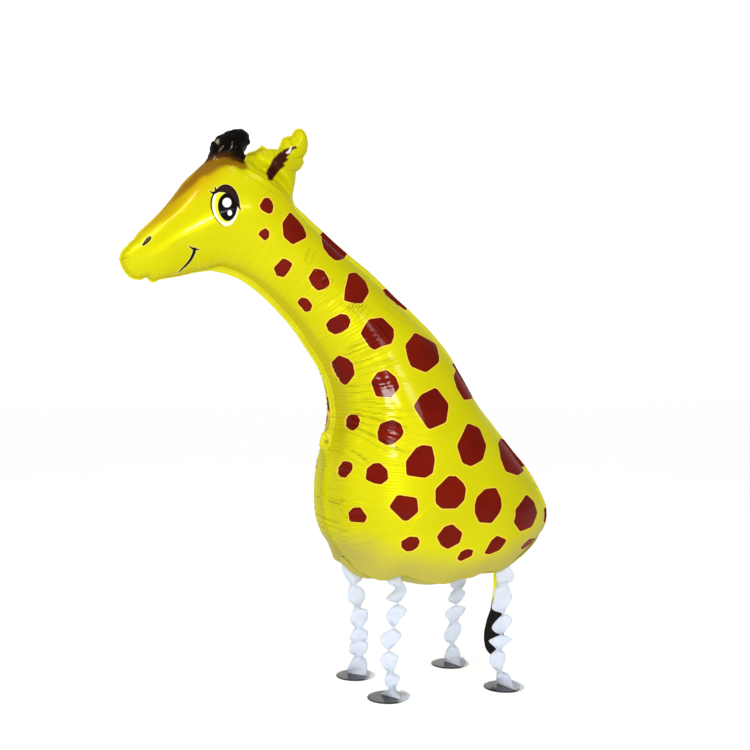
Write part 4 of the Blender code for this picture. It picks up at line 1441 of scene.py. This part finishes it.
# The face's inks, with its painted reflection and highlights, from the lowest up: field, colour, growth
# and blur in millimetres, strength
FACE_INKS_AND_PAINTED_HIGHLIGHTS = (
    ("eye_lid", PALE_EDGE, 0.8, 0.6, 0.4),
    ("eye_white", linear(232, 224, 206), 0.0, 0.5, 1.0),
    ("eye_iris", linear(226, 234, 50), 0.0, 0.7, 1.0),
    ("eye_line", INK_BLACK, 0.0, 0.35, 1.0),
    ("eye_pupil", INK_BLACK, 0.0, 0.4, 1.0),
    # Painted reflection across the pupil
    ("painted_eye_reflection", linear(86, 94, 96), 0.0, 0.7, 0.8),
    ("eye_lid", INK_BLACK, 0.0, 0.35, 1.0),
    ("eye_lid", linear(46, 26, 26), -1.6, 0.9, 1.0),
    ("eye_glint", WHITE, 0.0, 0.4, 1.0),
    ("eye_core", linear(218, 214, 226), 0.0, 1.2, 1.0),
    ("nostril", PALE_EDGE, 0.7, 0.5, 0.45),
    ("nostril", INK_BLACK, 0.0, 0.4, 1.0),
    ("nostril", linear(84, 58, 8), -1.1, 0.6, 0.8),
    ("mouth", PALE_EDGE, 0.7, 0.5, 0.45),
    ("mouth", INK_BLACK, 0.0, 0.4, 1.0),
    ("inner_ear", linear(120, 84, 8), 0.6, 0.7, 0.8),
    ("inner_ear", linear(62, 22, 12), -0.3, 0.5, 1.0),
    # Painted highlight on the ear
    ("painted_ear_glint", linear(250, 244, 236), 0.0, 0.8, 1.0),
    # Painted highlights on the horn
    ("painted_horn_glint", linear(216, 206, 160), 0.0, 0.8, 0.7),
)

# The film's bumps: strength, and height in metres
GATHER_BUMP = (0.8, 0.0024)
LADDER_BUMP = (1.0, 0.00042)
FRONT_BUMP = (0.6, 0.0016)
FOLD_BUMP = (1.0, 0.0019)
BUCKLE_BUMP = (0.06, 0.0010)

# Share of the light that shines through the paper
PAPER_GLOW = 0.45


def foil_print_and_painted_light(shader, place):
    """The printed colours, from the yellow ground up to the face, with painted shade along the seams, a
    painted reflection in the eye and painted highlights on the ear and horn.
    """
    cloud = shader.noise(place, 9.0, 2.0)
    colour = shader.mix(shader.ramp(cloud, 0.35, 0.7), FOIL_YELLOW, FOIL_DEEP)
    seam = shader.field("seam")
    edged = shader.field("edged")
    # Painted shade: the yellow turns darker gold within 5 mm of the seams, except at the chest and belly
    seam_shade = shader.ramp(seam, 5.0, 0.3, 0.0, shader.times(edged, 0.55), True)
    colour = shader.mix(seam_shade, colour, SEAM_SHADE_GOLD)
    colour = shader.mix(shader.ramp(seam, 0.0, -0.5, 0.0, edged), colour, FOIL_PALE)
    for name, shade, low, high, amount in SHADES:
        colour = shader.shade(colour, name, shade, low, high, amount)
    red = shader.mix(shader.ramp(shader.noise(place, 14.0), 0.35, 0.65), SPOT_RED, SPOT_DARK)
    colour = shader.ink(colour, "spot", SPOT_RIM, 1.3, 0.5, 0.9)
    colour = shader.ink(colour, "spot", SPOT_EDGE, -0.1, 0.35)
    colour = shader.ink(colour, "spot", red, -1.5, 0.7)
    # The face's inks, and the painted reflection in the eye and painted highlights on the ear and horn
    for name, ink, edge, blur, amount in FACE_INKS_AND_PAINTED_HIGHLIGHTS:
        colour = shader.ink(colour, name, ink, edge, blur, amount)
    return colour


def foil_relief(shader, place):
    """The film's fine relief: gathers from the seams, bars across them, folds and buckles."""
    side = shader.field("side")
    drift = shader.times(shader.field("seam"), 0.03)
    lines = shader.noise(shader.vector(shader.field("along"), drift, side), 0.36, 2.0)
    relief = shader.bump(shader.times(lines, shader.field("gather")), *GATHER_BUMP)
    front_along = shader.field("front_along")
    gathered = shader.field("front_gather")
    wander = shader.times(shader.noise(place, 16.0, 1.0), LADDER_WANDER)
    turn = shader.math("ADD", shader.times(front_along, 2 * pi / (LADDER * 1000)), wander)
    bars = shader.times(shader.math("SINE", turn), shader.noise(place, 24.0, 1.0))
    relief = shader.bump(shader.times(bars, gathered), *LADDER_BUMP, relief)
    lines = shader.noise(shader.vector(front_along, side, 0.0), 0.30, 2.0)
    relief = shader.bump(shader.times(lines, gathered), *FRONT_BUMP, relief)
    squared = shader.math("POWER", shader.math("ABSOLUTE", shader.field("fold")), 2.0)
    groove = shader.math("EXPONENT", shader.times(squared, -0.7))
    relief = shader.bump(shader.times(groove, shader.field("fold_depth")), *FOLD_BUMP, relief)
    return shader.bump(shader.noise(place, 45.0, 1.0), *BUCKLE_BUMP, relief)


def foil_material():
    """Metallised film, printed yellow, with the giraffe's spots and face, and painted shade along the
    seams, a painted reflection in the eye and painted highlights on the ear and horn.
    """
    shader = Shader(bpy.data.materials.new("Printed yellow foil"))
    place = shader.place()
    shader.look(Base_Color=foil_print_and_painted_light(shader, place), Normal=foil_relief(shader, place))
    shader.look(Metallic=0.12, Roughness=0.34, Specular_IOR_Level=0.0)
    shader.look(Coat_Weight=0.07, Coat_IOR=1.8, Coat_Roughness=0.09)
    return shader.owner


def paper_material():
    """Thin white paper: light shows through, and the fibres mottle it."""
    shader = Shader(bpy.data.materials.new("White paper"))
    place = shader.place()
    fibres = shader.noise(place, 420.0, 3.0, 0.65)
    mottled = shader.noise(place, 60.0, 2.0)
    colour = shader.mix(shader.ramp(mottled, 0.3, 0.7), linear(244, 248, 255), linear(232, 238, 248))
    shader.look(Base_Color=colour, Roughness=shader.ramp(fibres, 0.3, 0.7, 0.5, 0.7))
    shader.look(Normal=shader.bump(fibres, 0.25, 0.0003), Specular_IOR_Level=0.35)
    thin = shader.nodes.new("ShaderNodeBsdfTranslucent")
    shader.feed(thin.inputs["Color"], linear(236, 242, 254))
    blend = shader.nodes.new("ShaderNodeMixShader")
    for socket, value in zip(blend.inputs, (PAPER_GLOW, shader.main.outputs[0], thin.outputs[0])):
        shader.feed(socket, value)
    shader.feed(shader.nodes["Material Output"].inputs["Surface"], blend.outputs[0])
    return shader.owner


def card_material():
    """Dark coated card, slightly scuffed, with a painted reflection that turns it silver-white towards
    the view's right.
    """
    shader = Shader(bpy.data.materials.new("Dark coated card"))
    place = shader.place()
    scuffs = shader.noise(place, 90.0, 4.0, 0.7)
    colour = shader.mix(shader.ramp(scuffs, 0.5, 0.8), linear(34, 33, 38), linear(70, 70, 76))
    # Painted reflection: silver-white over the side of the disc towards the view's right
    colour = shader.shade(colour, "painted_reflection", linear(222, 226, 230), 0.35, 0.85, 1.0)
    shader.look(Base_Color=colour, Metallic=0.2, Roughness=shader.ramp(scuffs, 0.3, 0.8, 0.12, 0.32))
    shader.look(Normal=shader.bump(shader.noise(place, 30.0, 2.0), 0.12, 0.0006))
    shader.look(Specular_IOR_Level=0.2, Coat_Weight=0.2, Coat_Roughness=0.08)
    return shader.owner


def tail_material():
    """The tail film: yellow at the body, green for a little, then a black tuft."""
    shader = Shader(bpy.data.materials.new("Printed tail film"))
    drop = shader.field("drop")
    stretched = shader.vector(shader.field("across"), shader.times(drop, 0.8), 0.0)
    hairs = shader.noise(stretched, 22.0, 2.0)
    level = shader.math("ADD", drop, shader.ramp(hairs, 0.3, 0.7, -0.05, 0.05))
    colour = shader.mix(shader.ramp(level, 0.38, 0.46), linear(226, 222, 20), linear(66, 80, 20))
    colour = shader.mix(shader.ramp(level, 0.43, 0.53), colour, linear(12, 5, 4))
    shader.look(Base_Color=colour, Roughness=0.4, Metallic=0.1)
    shader.look(Normal=shader.bump(hairs, 0.3, 0.0008))
    shader.look(Specular_IOR_Level=0.1, Coat_Weight=0.2, Coat_IOR=1.3, Coat_Roughness=0.12)
    return shader.owner


def floor_material():
    """A matt floor that gives off light of its own, so that it comes out white."""
    shader = Shader(bpy.data.materials.new("Studio floor"))
    grain = shader.noise(shader.place(), 3.0, 2.0)
    colour = shader.mix(shader.ramp(grain, 0.3, 0.7), linear(150, 150, 150), linear(147, 147, 147))
    shader.look(Base_Color=colour, Roughness=0.85)
    shader.look(Emission_Color=WHITE, Emission_Strength=FLOOR_GLOW)
    return shader.owner


# Legs, feet and tail

def along_view(u, v, depth):
    """The place that a pixel shows at a depth from the camera."""
    return VIEWPOINT + view_ray(u, v) * depth


def on_level(u, v, level):
    """The place that a pixel shows on a level plane."""
    return along_view(u, v, (VIEW_HEIGHT - level) * FOCAL_PIXELS / (v - IMAGE / 2))


def ribbon(rows):
    """Close a sheet of point rows into a thin solid. Rows hold points and their offsets."""
    verts = []
    faces = []
    wide = len(rows[0])
    for row in rows:
        for middle, away in row:
            verts.append(middle + away)
        for middle, away in reversed(row):
            verts.append(middle - away)
    ring = 2 * wide
    for r in range(len(rows) - 1):
        faces += quads(r * ring, (r + 1) * ring, ring)
    for r, turn in ((0, 1), (len(rows) - 1, -1)):
        for k in range(wide - 1):
            face = [r * ring + k, r * ring + k + 1, r * ring + ring - 2 - k, r * ring + ring - 1 - k]
            faces.append(face[::turn])
    return verts, faces


def belly_above(belly_tree, x, y):
    """The place on the underside above a place on the floor, or None."""
    return belly_tree.ray_cast(Vector((x + SHIFT, y, 0.05)), Vector((0, 0, 1)))[0]


def strip_edges(rungs, foot, belly_tree):
    """Give both edges of a strip in space, from the belly to the foot."""
    depth = (Vector((*foot, 0.0)) - VIEWPOINT).dot(FORWARD)
    turned_over = False
    nearer = 1.0
    edges = ([], [])
    for row, (u0, v0, u1, v1, *kind) in enumerate(rungs):
        kind = kind[0] if kind else FACING
        shift = 0.0
        if kind in (EDGE_ON, CROSSING):
            seen = abs(u1 - u0) / FOCAL_PIXELS * depth
            shift = nearer * (max(STRIP_WIDTH ** 2 - seen ** 2, 0.0)) ** 0.5 / 2
            nearer = -nearer
        if kind == GLUED:
            level = FOOT_THICKNESS + PAPER
            pair = [on_level(u0, v0, level), on_level(u1, v1, level)]
        else:
            pair = [along_view(u0, v0, depth + shift), along_view(u1, v1, depth - shift)]
        if row == 0:
            for place in pair:
                up = belly_above(belly_tree, place.x, place.y)
                place.z = place.z if up is None else up.z + PAPER
        if turned_over:
            pair.reverse()
        edges[0].append(pair[0])
        edges[1].append(pair[1])
        if kind == CROSSING:
            turned_over = not turned_over
    return through(edges[0], STRIP_STEPS), through(edges[1], STRIP_STEPS)


def make_leg(name, foot, belly_tree, material):
    """Bend one paper strip through the turns that the photograph shows."""
    one, two = strip_edges(STRIPS[name], foot, belly_tree)
    middles = (one + two) / 2
    along = unit(np.gradient(middles, axis=0))
    wide = unit(two - one)
    face = unit(np.cross(wide, along))
    rows = []
    for k in range(len(one)):
        row = []
        cup = STRIP_CUP * sin(pi * min(1.0, (len(one) - 1 - k) / STRIP_STEPS))
        for step in range(STRIP_ACROSS + 1):
            share = step / STRIP_ACROSS
            point = one[k] * (1 - share) + two[k] * share + face[k] * cup * 4 * share * (1 - share)
            row.append((Vector(point), Vector(face[k]) * PAPER / 2))
        rows.append(row)
    verts, faces = ribbon(rows)
    mesh = make_mesh(f"leg_strip_{name}", verts, faces)
    return add_piece(f"leg_strip_{name}", mesh, material, f"paper_leg_{name}")


def make_foot(name, place, material, seed):
    """Turn a thin card disc with rounded rims and a slight warp."""
    radius = FOOT_DIAMETER / 2
    phase = np.random.default_rng(seed).uniform(0, 2 * pi)
    verts = []
    for reach, level in FOOT_SECTION:
        for k in range(FOOT_SIDES):
            turn = 2 * pi * k / FOOT_SIDES
            dip = FOOT_WARP * reach ** 2 * (1 + sin(2 * turn + phase)) * (1 if level > 0.5 else 0)
            verts.append((place[0] + radius * reach * cos(turn), place[1] + radius * reach * sin(turn),
                          FOOT_THICKNESS * level - dip))
    faces = []
    last = (len(FOOT_SECTION) - 1) * FOOT_SIDES
    for first in range(0, last, FOOT_SIDES):
        faces += quads(first, first + FOOT_SIDES, FOOT_SIDES)
    top = len(verts)
    verts += [(place[0], place[1], FOOT_THICKNESS), (place[0], place[1], 0.0)]
    for k in range(FOOT_SIDES):
        n = (k + 1) % FOOT_SIDES
        faces += [[top, n, k], [top + 1, last + k, last + n]]
    # Painted reflection: each vertex's reach towards the view's right, as a share of the radius
    painted_reflection = [(Vector(vert) - Vector((*place, 0.0))).dot(RIGHTWARD) / radius for vert in verts]
    mesh = make_mesh(f"foot_disc_{name}", verts, faces, {"painted_reflection": painted_reflection})
    return add_piece(f"foot_disc_{name}", mesh, material, f"card_foot_{name}")


def make_flap(name, material):
    """The strip's loose end, a small sheet that lies on the card foot."""
    level = FOOT_THICKNESS + FLAP_LIFT
    corners = [on_level(u, v, level) for u, v in FLAPS[name]]
    ring = soft_corners(np.array([(corner.x, corner.y) for corner in corners]), 2, 0.12)
    middle = ring.mean(axis=0)
    rows = []
    for share in np.linspace(0.02, 1.0, FLAP_ROWS):
        row = []
        for place in np.vstack([ring, ring[:1]]):
            x, y = middle + (place - middle) * share
            lift = FLAP_WARP * share ** 2 * (1 + sin(700 * x))
            row.append((Vector((x, y, level + lift)), Vector((0, 0, PAPER / 2))))
        rows.append(row)
    verts, faces = ribbon(rows)
    mesh = make_mesh(f"leg_flap_{name}", verts, faces)
    return add_piece(f"leg_flap_{name}", mesh, material, None)


def tail_half_widths(drop):
    """Left and right reach of the tail at a share of its length."""
    reaches = [np.interp(drop, *zip(*table)) for table in (TAIL_LEFT, TAIL_RIGHT)]
    return [reach * TAIL_TUFT_WIDTH / 2 for reach in reaches]


def make_tail(belly_tree, material):
    """Hang the tail's film from the underside, with a slight curl."""
    top = belly_above(belly_tree, TAIL_PLACE + TAIL_LEAN, 0.0).z + PAPER
    columns = [k / TAIL_COLUMNS for k in range(TAIL_COLUMNS + 1)]
    rows = []
    drops = []
    acrosses = []
    for step in range(TAIL_ROWS + 1):
        drop = step / TAIL_ROWS
        left, right = tail_half_widths(drop)
        row = []
        for share in columns:
            x = TAIL_PLACE - left + (left + right) * share
            curl = 0.0016 * sin(pi * drop) * (2 * share - 1) ** 2 - 0.0010 * sin(2.5 * pi * drop)
            row.append((Vector((x, curl, top - drop * TAIL_LENGTH)), Vector((0, PAPER / 2, 0))))
        rows.append(row)
        drops += [drop] * 2 * len(columns)
        acrosses += columns + columns[::-1]
    verts, faces = ribbon(rows)
    mesh = make_mesh("tail_film", verts, faces, {"drop": drops, "across": acrosses})
    return add_piece("tail_film", mesh, material, "tail")


# Studio

def make_camera():
    """Set the camera to the photograph's view."""
    data = bpy.data.cameras.new("Camera")
    data.lens = LENS
    data.sensor_width = SENSOR
    data.clip_end = 50.0
    camera = bpy.data.objects.new("Camera", data)
    camera.location = VIEWPOINT + Vector((SHIFT, 0.0, 0.0))
    camera.rotation_euler = FORWARD.to_track_quat("-Z", "Y").to_euler()
    bpy.context.scene.collection.objects.link(camera)
    bpy.context.scene.camera = camera


def area_light(name, aim, direction, distance, size, radiance):
    """Hang a soft box in a direction that is given as right, up and towards the camera."""
    right, up, near = direction
    way = (RIGHTWARD * right - FORWARD * near + Vector((0.0, 0.0, up))).normalized()
    data = bpy.data.lights.new(name, "AREA")
    data.shape = "RECTANGLE"
    data.size, data.size_y = size
    data.energy = radiance * pi * size[0] * size[1]
    light = bpy.data.objects.new(name, data)
    light.location = Vector(aim) + way * distance
    light.rotation_euler = (-way).to_track_quat("-Z", "Y").to_euler()
    bpy.context.scene.collection.objects.link(light)


def studio_world():
    """A pale studio: white behind the giraffe, greyer at the sides and behind the camera."""
    shader = Shader(bpy.data.worlds.new("Studio"), "Background")
    facing = shader.nodes.new("ShaderNodeVectorMath")
    facing.operation = "DOT_PRODUCT"
    shader.feed(facing.inputs[0], shader.nodes.new("ShaderNodeTexCoord").outputs["Generated"])
    shader.feed(facing.inputs[1], FORWARD)
    levels = [shader.ramp(facing.outputs["Value"], *step) for step in WORLD_STEPS]
    shader.look(Strength=shader.math("ADD", *levels), Color=WHITE)
    return shader.owner


def make_studio(material):
    """Lay the floor, light the giraffe and set the world."""
    mesh = bpy.data.meshes.new("studio_floor")
    corners = [(FLOOR_REACH * x, FLOOR_REACH * y, 0.0) for x, y in ((-1, -1), (1, -1), (1, 1), (-1, 1))]
    mesh.from_pydata(corners, [], [(0, 1, 2, 3)])
    floor = bpy.data.objects.new("studio_floor", mesh)
    mesh.materials.append(material)
    bpy.context.scene.collection.objects.link(floor)
    bpy.context.scene.world = studio_world()
    for name, (aim, direction, distance, size, radiance) in LIGHTS.items():
        area_light(name, aim, direction, distance, size, radiance)
    bpy.context.scene.view_settings.view_transform = "Standard"


def main():
    make_camera()
    verts, faces, fields = build_envelope()
    foil = foil_material()
    mesh = make_mesh("balloon_envelope", verts, faces, fields)
    envelope = add_piece("balloon_envelope", mesh, foil, ENVELOPE)
    bpy.context.view_layer.update()
    belly_tree = BVHTree.FromObject(envelope, bpy.context.evaluated_depsgraph_get())
    paper = paper_material()
    card = card_material()
    for seed, (name, foot) in enumerate(FEET.items(), start=60):
        make_leg(name, foot, belly_tree, paper)
        make_foot(name, foot, card, seed)
        make_flap(name, paper)
    make_tail(belly_tree, tail_material())
    make_studio(floor_material())


main()
